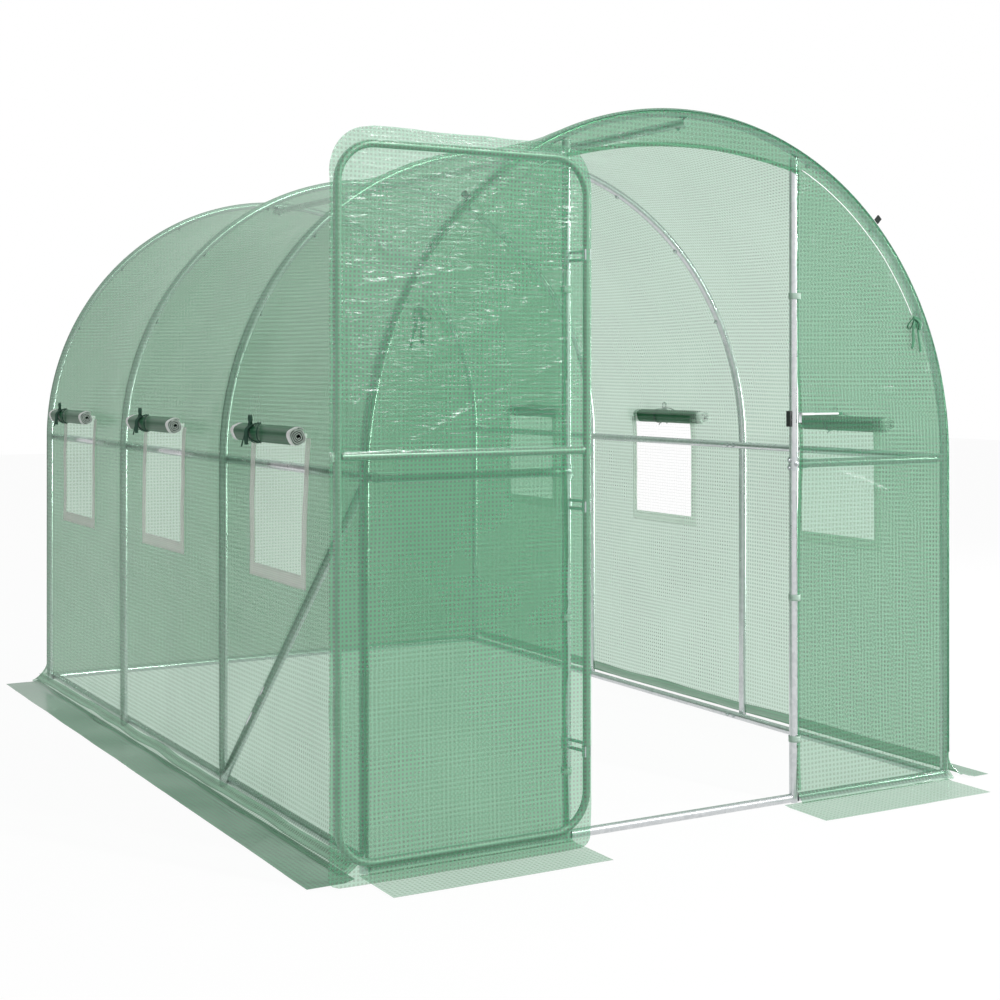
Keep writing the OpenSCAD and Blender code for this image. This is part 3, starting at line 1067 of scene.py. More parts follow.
@dataclass
class GroundSkirts:
    """The flaps that lie on the ground round the tunnel."""

    step: float = 0.013
    strips: tuple[Strip, ...] = (
        Strip("left_ground_skirt", (-1.168, -1.5625), (-1.040, 1.476), "high_x", "left_skirt"),
        Strip("right_ground_skirt", (1.040, -1.5500), (1.125, 1.476), "low_x", "right_skirt"),
        Strip("front_left_ground_skirt", (-1.016, -1.729), (-0.390, -1.532), "high_y",
              "front_skirts"),
        Strip("front_right_ground_skirt", (0.330, -1.712), (0.966, -1.532), "high_y",
              "front_skirts"),
        Strip("back_ground_skirt", (-0.996, 1.530), (0.996, 1.640), "low_y", "back_skirt"),
    )

    def build(self, side: bpy.types.Material, end: bpy.types.Material) -> list[bpy.types.Object]:
        """Makes the five skirts.

        Args:
            side: finish of the two along the sides, which are doubled.
            end: finish of those at the ends.

        Returns:
            The skirts.
        """
        made = []
        for number, strip in enumerate(self.strips):
            xs = spaced(strip.low[0], strip.high[0], self.step)
            ys = spaced(strip.low[1], strip.high[1], self.step)
            x, y = np.meshgrid(xs, ys, indexing="ij")
            from_seam = {"high_x": strip.high[0] - x, "low_x": x - strip.low[0],
                         "high_y": strip.high[1] - y, "low_y": y - strip.low[1]}[strip.sewn]
            long_way = y if "x" in strip.sewn else x
            waves = 0.5 + 0.5 * ripple(long_way, from_seam, 0.21, 0.5, 31 + number)
            fine = 0.5 + 0.5 * ripple(long_way, from_seam, 0.05, 0.3, 41 + number)
            seam = ramp(from_seam, 0.03, 0.0)
            z = 0.0012 + 0.0030 * waves * ramp(from_seam, 0.0, 0.05) + 0.0008 * fine
            z = z + (0.007 if "x" in strip.sewn else 0.004) * seam
            piece = grid_object(strip.name, np.stack([x, y, z], axis=-1),
                                np.stack([x, y], axis=-1))
            finish_piece(piece, Body.TUNNEL, side if "x" in strip.sewn else end,
                         (strip.node,))
            made.append(piece)
        return made


# ---------------------------------------------------------------- windows


@dataclass
class Windows:
    """Six windows: a net, a sewn border and the flap rolled up over it."""

    layout: Layout
    window: Window
    cover: TunnelCover
    turns: float = 3.8
    layer: float = 0.0026

    def patch(self, side: Side, middle: float, heights: np.ndarray, ys: np.ndarray,
              lift: float) -> tuple[np.ndarray, np.ndarray]:
        """Places a rectangle of cloth on the wall.

        Args:
            side: the wall.
            middle: the window's middle along the tunnel.
            heights: stations up the wall.
            ys: stations along the tunnel, from the window's middle.
            lift: distance outside the cover.

        Returns:
            The points and their flat coordinates.
        """
        rows, cols = np.meshgrid(heights, ys + middle, indexing="ij")
        left = np.full(rows.shape, side is Side.LEFT)
        return self.cover.surface(rows, cols, left, lift), np.stack([cols, rows], axis=-1)

    def build(self, net: bpy.types.Material, tape: bpy.types.Material,
              thin: bpy.types.Material, rolled: bpy.types.Material) -> None:
        """Makes the nets, the borders and the rolls.

        Args:
            net: finish of the nets.
            tape: finish of the left wall's borders.
            thin: finish of the right wall's borders, a more see-through copy of the tape that
                paints light through them.
            rolled: finish of the rolls.
        """
        win = self.window
        for side in Side:
            for number, middle in enumerate(win.middles(side, self.layout), 1):
                tag = f"{side.name.lower()}_{number}"
                turn = side is Side.RIGHT
                heights = spaced(win.sill - 0.012, win.head - 0.01, 0.016)
                ys = spaced(-win.width / 2 - 0.012, win.width / 2 + 0.012, 0.016)
                points, flat = self.patch(side, middle, heights, ys, 0.0006)
                piece = grid_object(f"net_{tag}", points, flat, turn=turn)
                finish_piece(piece, Body.TUNNEL, net, ("window_meshes",))
                # The right wall's borders take the more see-through copy of the tape, which paints
                # light through them.
                edge = self.border(tag, side, middle, tape if side is Side.LEFT else thin, turn)
                self.roll(tag, side, middle, rolled)

    def border(self, tag: str, side: Side, middle: float, tape: bpy.types.Material,
               turn: bool) -> bpy.types.Object:
        """Makes the tape sewn round one window.

        Args:
            tag: the window's short name.
            side: the wall.
            middle: the window's middle along the tunnel.
            tape: the finish.
            turn: True to make the faces look the other way.

        Returns:
            The tape.
        """
        win = self.window
        half = win.width / 2
        heights = spaced(win.sill - win.border - 0.006, 1.075, 0.012, (win.sill,))
        ys = spaced(-half - win.border, half + win.border, 0.012, (-half, half))
        points, flat = self.patch(side, middle, heights, ys, 0.0016)
        mid_h = (heights[:-1] + heights[1:])[:, None] / 2
        mid_y = np.abs(ys[:-1] + ys[1:])[None, :] / 2
        keep = (mid_h < win.sill) | (mid_y > half)
        piece = grid_object(f"border_{tag}", points, flat, keep, turn)
        thicken(piece, 0.0012, 1.0)
        return finish_piece(piece, Body.TUNNEL, tape, ("window_borders",))

    def roll(self, tag: str, side: Side, middle: float, rolled: bpy.types.Material) -> None:
        """Makes one rolled flap as a spiral of sheet.

        Args:
            tag: the window's short name.
            side: the wall.
            middle: the window's middle along the tunnel.
            rolled: the finish.
        """
        win = self.window
        angle = np.linspace(0, 2 * math.pi * self.turns, 110)
        radius = 0.0045 + (win.roll_r - 0.0012 - 0.0045) * angle / angle[-1]
        ys = spaced(-win.roll_l / 2, win.roll_l / 2, 0.02)
        a, y = np.meshgrid(angle, ys, indexing="ij")
        r = np.repeat(radius[:, None], len(ys), axis=1)
        squash = 1 + 0.06 * np.cos(4 * a) + 0.02 * ripple(a, y, 1.3, 0.1, 51)
        r = np.minimum(r * squash, win.roll_r)
        steps = np.hypot(np.diff(radius), radius[1:] * np.diff(angle))
        length = np.concatenate([[0], np.cumsum(steps)])
        turn = a * side.value - 0.4
        x = (self.layout.radius + 0.0025 + win.roll_r) * side.value + r * np.cos(turn)
        z = win.roll_z + r * np.sin(turn)
        points = np.stack([x, y + middle, z], axis=-1)
        flat = np.stack([y + win.roll_l / 2, np.repeat(length[:, None], len(ys), axis=1)], axis=-1)
        piece = grid_object(f"roll_{tag}", points, flat, turn=side is Side.RIGHT)
        thicken(piece, self.layer, 0.0)
        finish_piece(piece, Body.TUNNEL, rolled, ("window_rolls",))


# ---------------------------------------------------------------- door


@dataclass
class DoorSheet:
    """The door's sheet, pulled over its round-cornered tube frame."""

    layout: Layout
    low_x: float = -1.134
    high_x: float = -0.387
    low_z: float = 0.008
    high_z: float = 1.855
    top_corner: float = 0.12
    low_corner: float = 0.030
    bar_z: float = 1.048
    bend: float = 0.10
    step: float = 0.0058
    columns: int = 132
    wrap: float = 0.011
    corner_loss: float = 0.43
    marks: tuple[tuple[float, float, float, float, float], ...] = (
        (-1.090, 1.452, -0.715, 1.516, 0.0046), (-0.675, 0.682, -0.480, 0.738, 0.0046),
        (-1.013, 1.566, -0.942, 1.522, 0.0038), (-0.547, 1.386, -0.470, 1.440, 0.0038),
        (-0.657, 1.582, -0.468, 1.400, 0.0030), (-0.887, 1.455, -0.795, 1.330, 0.0030),
    )

    def frame_gap(self, x: np.ndarray, z: np.ndarray) -> tuple[np.ndarray, np.ndarray]:
        """Returns the distance to the frame's middle line, and True outside it.

        Args:
            x: place across.
            z: height.
        """
        lo, hi = self.layout.door_lo, self.layout.door_hi
        cx, cz = (lo.x + hi.x) / 2, (lo.z + hi.z) / 2
        half_x, half_z = (hi.x - lo.x) / 2 - 0.01, (hi.z - lo.z) / 2 - 0.01
        dx = np.abs(x - cx) - (half_x - self.bend)
        dz = np.abs(z - cz) - (half_z - self.bend)
        away = np.hypot(np.maximum(dx, 0), np.maximum(dz, 0)) + np.minimum(np.maximum(dx, dz), 0)
        signed = away - self.bend
        return np.abs(signed), signed > 0

    def creases(self, x: np.ndarray, z: np.ndarray) -> np.ndarray:
        """Returns how far the long sharp creases stand out.

        Args:
            x: place across.
            z: height.
        """
        out = np.zeros_like(x)
        jagged = (0.0040 * ripple(x, z * 0, 0.060, 1.0, 67)
                  + 0.0012 * ripple(x, z * 0, 0.022, 1.0, 68))
        for x0, z0, x1, z1, height in self.marks:
            length = math.hypot(x1 - x0, z1 - z0)
            dx, dz = (x1 - x0) / length, (z1 - z0) / length
            along = (x - x0) * dx + (z - z0) * dz
            away = (z - z0) * dx - (x - x0) * dz + jagged * (height > 0.002)
            ends = ramp(along, 0.0, 0.02) * ramp(along, length, length - 0.04)
            out = out + height * ends * np.exp(-(away / (height * 2.3)) ** 2)
        return out

    def build(self, material: bpy.types.Material) -> bpy.types.Object:
        """Makes the sheet.

        Args:
            material: the sheet's finish.

        Returns:
            The sheet.
        """
        zs = spaced(self.low_z, self.high_z, self.step, (self.bar_z,))
        inset = np.zeros_like(zs)
        for edge, radius in ((self.high_z, self.top_corner), (self.low_z, self.low_corner)):
            near = np.clip(radius - np.abs(edge - zs), 0, radius)
            inset = np.maximum(inset, radius - np.sqrt(radius ** 2 - near ** 2))
        across = np.linspace(0, 1, self.columns)
        left = self.low_x + inset
        right = self.high_x - inset
        x = left[:, None] + (right - left)[:, None] * across[None, :]
        z = np.repeat(zs[:, None], len(across), axis=1)
        gap, outside = self.frame_gap(x, z)
        gap = np.minimum(gap, np.abs(z - self.bar_z))
        front = self.layout.door_lo.y - 0.0011
        over = np.clip(gap / self.wrap, 0, 1)
        round_tube = self.wrap * (1 - np.sqrt(1 - over ** 2 * 0.75))
        sag = round_tube + 0.0045 * ramp(gap, 0.010, 0.16)
        sag = np.where(outside, round_tube + 0.10 * np.clip(gap - self.wrap, 0, None), sag)
        free = ramp(gap, 0.004, 0.03)
        upper = 0.35 + 0.65 * ramp(z, 1.02, 1.25)
        fine = (0.0012 * crease(x, z, 0.055, 0.017, 61, 3.0)
                + 0.0011 * crease(x, z, 0.09, 0.026, 62, 3.0))
        broad = 0.0028 * ripple(x, z, 0.16, 0.09, 63) + 0.0016 * ripple(x, z, 0.06, 0.045, 64)
        folds = 0.004 * crease(x + 0.6 * z, z - 0.45 * x, 0.60, 0.13, 65, 12.0)
        y = front + sag - (fine * upper + broad * (0.4 + 0.6 * upper) + folds) * free
        sharp = self.creases(x, z)
        y = y - sharp * free
        wavy = ramp(z, self.high_z - 0.03, self.high_z)
        z_out = z - wavy * (0.010 * ramp(x, self.low_x, self.high_x)
                            + 0.004 * (1 + ripple(x, x * 0, 0.07, 1.0, 66)) / 2)
        points = np.stack([x, y, z_out], axis=-1)
        loose = (0.35 + 0.65 * ramp(z, 1.00, 1.30)) * ramp(gap, 0.002, 0.02)
        loose = loose * (1 - 0.65 * np.clip(sharp / 0.0020, 0, 1)) + 0.5 * ramp(z, 1.68, 1.80)
        piece = grid_object("door_sheet", points, np.stack([x, z], axis=-1), turn=True,
                            crinkle=loose)
        finish_piece(piece, Body.DOOR, material, ("door_cover",))
        return piece


# ---------------------------------------------------------------- tubes and fittings


@dataclass
class TubeFrame:
    """The steel tubes, which keep their CAD shapes."""

    tubes: tuple[str, ...] = (
        "front_arch", "second_arch", "third_arch", "back_arch", "front_legs", "second_legs",
        "third_legs", "back_legs", "ridge_pole", "left_purlin", "right_purlin",
        "left_base_rail", "right_base_rail", "front_base_rail", "back_base_rail", "left_brace",
        "left_door_post", "right_door_post", "front_crossbars")
    door_tubes: tuple[str, ...] = ("door_frame", "door_mid_bar")
    fittings: tuple[str, ...] = ("crossbar_clamps", "post_hinges", "door_hinge_leaves")

    def plug(self, white: bpy.types.Material) -> bpy.types.Object:
        """Makes the pale slotted plug at the free end of the door's mid bar.

        Args:
            white: its finish.

        Returns:
            The plug.
        """
        edge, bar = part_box("door_frame")[0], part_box("door_mid_bar")
        piece = block((0.0060, 0.0090, 0.0240),
                      (edge[0] - 0.0024, (bar[0][1] + bar[1][1]) / 2, (bar[0][2] + bar[1][2]) / 2))
        inset_faces(piece, lambda middle, normal: normal.x < -0.9, 0.0018, -0.0008)
        round_edges(piece, 0.0006)
        piece.name = piece.data.name = "mid_bar_plug"
        return finish_piece(piece, Body.DOOR, white)

    def dress(self, tube: bpy.types.Material, door_tube: bpy.types.Material,
              fitting: bpy.types.Material) -> None:
        """Gives the CAD nodes that stay their finishes.

        Args:
            tube: finish of the tunnel's tubes.
            door_tube: finish of the door's tubes, a darker copy of the tube's finish that paints
                shade on them.
            fitting: finish of clamps and hinges.
        """
        plan = {tube: self.tubes, door_tube: self.door_tubes, fitting: self.fittings}
        for material, names in plan.items():
            for name in names:
                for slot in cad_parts[name].material_slots:
                    slot.material = material


@dataclass
class RollTies:
    """The green tapes that hold the rolls up, each with its bow."""

    layout: Layout
    window: Window
    tie_at: float = 0.075
    tape_w: float = 0.011
    tape_t: float = 0.0012

    def build(self, webbing: bpy.types.Material) -> None:
        """Makes the six ties.

        Args:
            webbing: their finish.
        """
        for side in Side:
            for number, middle in enumerate(self.window.middles(side, self.layout), 1):
                self.tie(f"roll_tie_{side.name.lower()}_{number}", side, middle, webbing)

    def tie(self, name: str, side: Side, middle: float, webbing: bpy.types.Material) -> None:
        """Makes one tie: the band round the roll, the knot, two loops and two tails.

        Args:
            name: its name.
            side: the wall.
            middle: the window's middle along the tunnel.
            webbing: its finish.
        """
        win = self.window
        axis_x = self.layout.radius + 0.0025 + win.roll_r
        radius = win.roll_r + 0.0016

        def at(u: float, v: float, w: float) -> tuple[float, float, float]:
            """Places a point from the roll's axis: u to the door end, v outwards, w up."""
            return ((axis_x + v) * side.value, middle + self.tie_at - u, win.roll_z + w)

        def ring(size: float, turn: float) -> tuple[float, float]:
            """Returns a point round the roll's axis."""
            return size * math.cos(turn), size * math.sin(turn)

        along, out = (0.0, 1.0, 0.0), (1.0, 0.0, 0.0)
        knot_v, knot_w = ring(radius + 0.002, math.radians(52))
        steps = [2 * math.pi * k / 16 for k in range(16)]
        band = ribbon([at(0.0, *ring(radius, t)) for t in steps], along, self.tape_w,
                      self.tape_t, 2, True)
        knot = [ribbon([at(0.0, knot_v + 0.0045 * math.cos(t), knot_w + 0.0045 * math.sin(t))
                        for t in steps[::2]], along, 0.013, 0.0022, 3, True),
                ribbon([at(0.0055 * math.cos(t), knot_v + 0.003, knot_w + 0.0075 * math.sin(t))
                        for t in steps[::2]], out, 0.009, 0.0020, 3, True)]
        face = (0.87 * side.value, 0.5, 0.0)
        loop = ribbon([at(0.0, knot_v, knot_w), at(0.008, knot_v + 0.004, knot_w + 0.010),
                       at(0.009, knot_v + 0.004, knot_w + 0.022),
                       at(0.001, knot_v + 0.003, knot_w + 0.029),
                       at(-0.007, knot_v + 0.002, knot_w + 0.021),
                       at(-0.006, knot_v + 0.001, knot_w + 0.009),
                       at(0.0, knot_v, knot_w)], face, 0.009, self.tape_t)
        wide, tall = 0.035, 0.028
        hoop = ribbon([at(0.004 + wide * (1 - math.cos(t)),
                          0.0035 + math.sqrt(max(radius ** 2 - (tall * math.sin(t)) ** 2, 4e-6)),
                          tall * math.sin(t) + 0.003) for t in steps], out, 0.0034, 0.0028, 3,
                      True)
        tails = [ribbon([at(0.0, knot_v, knot_w), at(-0.006, 0.0305, 0.006),
                         at(-0.024, 0.0315, -0.016), at(-0.046, 0.0290, -0.038)], face, 0.0042,
                        0.0018),
                 ribbon([at(0.0, knot_v + 0.002, knot_w), at(0.003, 0.0330, 0.010),
                         at(0.004, 0.0345, -0.010), at(0.002, 0.0330, -0.031)], face, 0.0105,
                        self.tape_t)]
        piece = join([band, *knot, loop, hoop, *tails], name)
        finish_piece(piece, Body.TUNNEL, webbing, ("roll_ties",))


@dataclass
class FrontTrim:
    """What is sewn and tied on the front: edge bead, piping, bows, tabs and post loops."""

    layout: Layout
    ends: EndSheets
    cover: TunnelCover
    piping_r: float = 0.943
    bow: tuple[float, float] = (0.841, 1.416)
    tab_angle: float = 45.7
    loop_z: tuple[float, ...] = (0.185, 0.596, 1.473)

    def face(self, x: float, z: float) -> float:
        """Returns the Y of the front sheet's outer face at a place."""
        return self.ends.front_y() - float(self.ends.puff(np.array(x), np.array(z))) - 0.0012

    def build(self, piping: bpy.types.Material, bead: bpy.types.Material,
              webbing: bpy.types.Material, black: bpy.types.Material,
              band: bpy.types.Material) -> None:
        """Makes all the trim.

        Args:
            piping: finish of the right line of white piping.
            bead: finish of the beads over the end hoops.
            webbing: finish of the bows.
            black: finish of the two tabs over the hoop.
            band: finish of the loops round the door posts, and of the left piping as painted shade.
        """
        for end, name in ((-1, "front_edge_bead"), (1, "back_edge_bead")):
            piece = self.bead(end)
            piece.name = name
            finish_piece(piece, Body.TUNNEL, bead)
        for side in Side:
            tag = side.name.lower()
            line = [self.on_arc(side, math.radians(a)) for a in np.linspace(64.5, 27.5, 22)]
            piece = ribbon(line, (side.value * 0.7, 0.0, 0.7), 0.0024, 0.0012, 2)
            piece.name = f"front_piping_{tag}"
            # The left piping takes the greyer band finish instead of white: painted shade on it.
            finish_piece(piece, Body.TUNNEL, piping if side is Side.RIGHT else band)
            finish_piece(self.make_bow(side), Body.TUNNEL, webbing)
            finish_piece(self.tab(side), Body.TUNNEL, black, ("hoop_tabs",))
            for number, z in enumerate(self.loop_z, 1):
                piece = self.post_loop(side, z)
                piece.name = f"post_loop_{tag}_{number}"
                finish_piece(piece, Body.TUNNEL, band, ("cover_tabs",))

    def on_arc(self, side: Side, angle: float) -> tuple[float, float, float]:
        """Returns a point of the piping's arc on the front face."""
        x = self.piping_r * math.cos(angle)
        z = self.layout.leg_h + self.piping_r * math.sin(angle)
        return (x * side.value, self.face(x, z), z)

    def bead(self, end: int) -> bpy.types.Object:
        """Makes the sewn bead where the cover turns over an end hoop.

        Args:
            end: -1 for the front, 1 for the back.

        Returns:
            The bead.
        """
        heights = spaced(0.08, self.cover.half(), 0.03)
        heights = np.concatenate([heights, 2 * self.cover.half() - heights[-2::-1]])
        left = heights > self.cover.half()
        height = np.minimum(heights, 2 * self.cover.half() - heights)
        place = np.full_like(height, end * (self.layout.hoops[-1] + self.cover.wrap * 1.05))
        points = self.cover.surface(height, place, left, 0.0012)
        return ribbon([tuple(p) for p in points], (0.0, 1.0, 0.0), 0.0028, 0.0022, 1)

    def make_bow(self, side: Side) -> bpy.types.Object:
        """Makes the bow at the end of one line of piping.

        Args:
            side: left or right.

        Returns:
            The bow, hanging on the front face.
        """
        x0, z0 = self.bow
        y0 = self.face(x0, z0) - 0.004

        def at(x: float, y: float, z: float) -> tuple[float, float, float]:
            """Places a point of the bow, in millimetres from its knot."""
            return ((x0 + x / 1000) * side.value, y0 - y / 1000, z0 + z / 1000)

        flat, deep = (1.0, 0.0, 0.15), (0.15, 1.0, 0.0)
        turns = [2 * math.pi * k / 8 for k in range(8)]
        parts = [
            ribbon([at(6 * math.cos(t), 3.5 + 3.5 * math.sin(t), 0) for t in turns],
                   (0.0, 0.0, 1.0), 0.010, 0.0018, 3, True),
            ribbon([at(0, 3, 0), at(-9, 5, -3), at(-24, 5, -16), at(-29, 4, -27), at(-21, 3, -35),
                    at(-10, 3, -24), at(-2, 3, -4)], deep, 0.006, 0.0014),
            ribbon([at(0, 4, 0), at(10, 8, -5), at(18, 10, -17), at(17, 8, -32), at(13, 5, -31),
                    at(10, 3, -16), at(2, 3, -2)], flat, 0.0125, 0.0012),
            ribbon([at(0, 3, -2), at(-3, 5, -20), at(-6, 4, -46), at(-4, 3, -70), at(-8, 2, -93)],
                   flat, 0.0105, 0.0012),
            ribbon([at(2, 3, -2), at(9, 6, -22), at(14, 5, -48), at(21, 3, -76), at(26, 2, -102)],
                   flat, 0.0085, 0.0012)]
        return join(parts, f"front_bow_{side.name.lower()}")

    def tab(self, side: Side) -> bpy.types.Object:
        """Makes the folded tab that stands out over the front hoop.

        Args:
            side: left or right.

        Returns:
            The tab.
        """
        core = self.layout.radius
        piece = block((0.020, 0.0036, 0.018), (core + 0.0085, -self.layout.hoops[-1] - 0.0125, 0.0))
        inset_faces(piece, lambda middle, normal: abs(normal.y) > 0.9, 0.003, -0.0006)
        edit_faces(piece, lambda middle, normal: normal.x > 0.9)
        bpy.ops.mesh.extrude_region_move(TRANSFORM_OT_translate={"value": (0.0012, 0.0, 0.0)})
        bpy.ops.transform.resize(value=(1.0, 0.7, 0.86))
        bpy.ops.object.mode_set(mode="OBJECT")
        round_edges(piece, 0.0005)
        swing = Matrix.Rotation(-math.radians(self.tab_angle), 4, "Y")
        piece.data.transform(Matrix.Translation((0, 0, self.layout.leg_h)) @ swing)
        if side is Side.LEFT:
            piece.data.transform(Matrix.Scale(-1, 4, (1, 0, 0)))
            piece.data.flip_normals()
        piece.name = piece.data.name = f"hoop_tab_{side.name.lower()}"
        return piece

    def post_loop(self, side: Side, z: float) -> bpy.types.Object:
        """Makes the loop of sheet that ties a panel's edge to its door post.

        Args:
            side: left or right.
            z: its height.

        Returns:
            The loop.
        """
        x0, y0, r = self.layout.post_x, self.layout.hoops[0], self.layout.tube_r + 0.0016
        marks = [(x0 + 0.016, self.face(x0 + 0.016, z) - 0.0012, z),
                 (x0 + 0.004, y0 - r - 0.0030, z)]
        marks += [(x0 + r * math.sin(t), y0 - r * math.cos(t), z)
                  for t in np.radians([-35, -70, -110, -150, -190, -220, -240])]
        marks = [(side.value * x, y, z) for x, y, z in marks]
        piece = ribbon(marks, (0.0, 0.0, 1.0), 0.018, 0.0010, 4)
        return piece


@dataclass
class Fittings:
    """Bolts with their washers, the clamps' screws and the latch."""

    layout: Layout
    bolt_angles: tuple[float, ...] = (27, 45, 63, 117, 135, 153)
    head_r: float = 0.0055
    washer_r: float = 0.0078
    ridge_z: float = 1.949
    purlin_z: float = 0.988
    latch_z: float = 1.116

    def model_bolt(self) -> bpy.types.Object:
        """Makes the one bolt that is copied: washer, six-sided head and domed end.

        Returns:
            The bolt, standing on the origin along Z.
        """
        washer = cylinder(self.washer_r, 0.0012, (0, 0, 0.0006), sides=20)
        edit_faces(washer, lambda middle, normal: normal.z > 0.9)
        bpy.ops.mesh.inset(thickness=0.0012, depth=0.0)
        bpy.ops.transform.translate(value=(0, 0, 0.0003))
        bpy.ops.object.mode_set(mode="OBJECT")
        head = cylinder(self.head_r, 0.0038, (0, 0, 0.0031), sides=6)
        inset_faces(head, lambda middle, normal: normal.z > 0.9, 0.0008, 0.0004)
        round_edges(head, 0.0003, 1)
        shank = cylinder(0.0028, 0.0020, (0, 0, 0.0058), sides=12)
        inset_faces(shank, lambda middle, normal: normal.z > 0.9, 0.0010, 0.0007)
        return join([washer, head, shank], "bolt")

    def place(self, bolt: bpy.types.Object, spot: Vector, axis: Vector) -> bpy.types.Object:
        """Copies the bolt with its own mesh to a place.

        Args:
            bolt: the bolt to copy.
            spot: the middle of its seat.
            axis: the way that it points.

        Returns:
            The copy.
        """
        copy = bolt.copy()
        copy.data = bolt.data.copy()
        bpy.context.collection.objects.link(copy)
        turn = Vector((0, 0, 1)).rotation_difference(axis).to_matrix().to_4x4()
        copy.data.transform(Matrix.Translation(spot) @ turn)
        return copy

    def build(self, steel: bpy.types.Material, dark: bpy.types.Material,
              white: bpy.types.Material, green: bpy.types.Material) -> None:
        """Makes the bolts and the latch.

        Args:
            steel: finish of the bolts.
            dark: finish of the latch's black parts.
            white: finish of the latch's rod.
            green: finish of its tip.
        """
        lay = self.layout
        bolt = self.model_bolt()
        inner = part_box("second_arch")[1][0] - 2 * lay.tube_r
        for number, y in enumerate(lay.hoops, 1):
            copies = []
            for angle in self.bolt_angles:
                way = Vector((math.cos(math.radians(angle)), 0, math.sin(math.radians(angle))))
                spot = way * (inner - 0.0003) + Vector((0, y, lay.leg_h))
                copies.append(self.place(bolt, spot, -way))
            ridge_y = y - math.copysign(0.03, y)
            copies.append(self.place(bolt, Vector((0, ridge_y, self.ridge_z - lay.tube_r)),
                                     Vector((0, 0, -1))))
            finish_piece(join(copies, f"hoop_bolts_{number}"), Body.TUNNEL, steel,
                         ("frame_bolts",))
        along = (lay.hoops[0] + 0.045, lay.hoops[1] + 0.005, lay.hoops[1] + 0.040,
                 lay.hoops[2] - 0.005, lay.hoops[2] - 0.040, lay.hoops[3] - 0.045)
        for side in Side:
            seat = (lay.rail_x - lay.tube_r) * side.value
            copies = [self.place(bolt, Vector((seat, y, z)), Vector((-side.value, 0, 0)))
                      for y in along for z in (self.purlin_z, lay.tube_r)]
            finish_piece(join(copies, f"rail_bolts_{side.name.lower()}"), Body.TUNNEL, steel,
                         ("frame_bolts",))
            reach = lay.tube_r + 0.0020
            post = Vector((lay.post_x * side.value, lay.hoops[0], 0))
            spots = [(Vector((-side.value * reach, 0, z)), Vector((-side.value, 0, 0)))
                     for z in (0.974, 0.996)] + [(Vector((0, -reach, 0.985)), Vector((0, -1, 0)))]
            copies = [self.place(bolt, post + spot, way) for spot, way in spots]
            finish_piece(join(copies, f"clamp_screws_{side.name.lower()}"), Body.TUNNEL, steel)
        bpy.data.objects.remove(bolt)
        self.latch(steel, dark, white, green)

    def latch(self, steel: bpy.types.Material, dark: bpy.types.Material,
              white: bpy.types.Material, green: bpy.types.Material) -> None:
        """Makes the keeper on the right post and the rod that drops over the door.

        Args:
            steel: finish of the bracket.
            dark: finish of the plate.
            white: finish of the rod and its sleeve.
            green: finish of its tip.
        """
        lay = self.layout
        x0, y0 = lay.post_x, lay.hoops[0]
        plate = block((0.0055, 0.019, 0.046), (x0 - lay.tube_r - 0.0045, y0, self.latch_z))
        edit_faces(plate, lambda middle, normal: normal.x < -0.9)
        bpy.ops.mesh.inset(thickness=0.003, depth=0.0)
        bpy.ops.transform.translate(value=(-0.0008, 0, 0))
        bpy.ops.object.mode_set(mode="OBJECT")
        round_edges(plate, 0.0012)
        through = cylinder(0.003, 0.004, (x0 - lay.tube_r - 0.001, y0, self.latch_z),
                           (0, 90, 0), 12)
        inset_faces(through, lambda middle, normal: normal.x > 0.9, 0.0008, 0.0)
        finish_piece(join([plate, through], "latch_plate"), Body.TUNNEL, dark,
                     ("latch",))
        rod_y, rod_z = y0 - lay.tube_r - 0.012, self.latch_z + 0.014
        bracket = block((0.012, 0.0030, 0.028), (x0 + lay.tube_r - 0.002, y0 - lay.tube_r - 0.0035,
                                                 self.latch_z + 0.003))
        edit_faces(bracket, lambda middle, normal: normal.z > 0.9)
        bpy.ops.mesh.extrude_region_move(TRANSFORM_OT_translate={"value": (0, -0.006, 0.003)})
        bpy.ops.object.mode_set(mode="OBJECT")
        inset_faces(bracket, lambda middle, normal: normal.y < -0.9, 0.002, -0.0004)
        round_edges(bracket, 0.0006)
        bracket.name = bracket.data.name = "latch_bracket"
        finish_piece(bracket, Body.TUNNEL, steel)
        pieces = (("latch_sleeve", 0.0036, 0.0, 0.046, white, Slot.PLASTIC),
                  ("latch_rod", 0.0030, 0.046, 0.138, white, Slot.FITTING),
                  ("latch_tip", 0.0040, 0.138, 0.150, green, Slot.WEBBING))
        for name, radius, start, stop, material, slot in pieces:
            low = x0 + 0.011 + start
            piece = cylinder(radius, stop - start, (low + (stop - start) / 2, rod_y, rod_z),
                             (0, 90, 0), 16)
            inset_faces(piece, lambda middle, normal: abs(normal.x) > 0.9, 0.0010, 0.0005)
            round_edges(piece, 0.0004)
            piece.name = piece.data.name = name
            finish_piece(piece, Body.TUNNEL, material)


# ---------------------------------------------------------------- studio


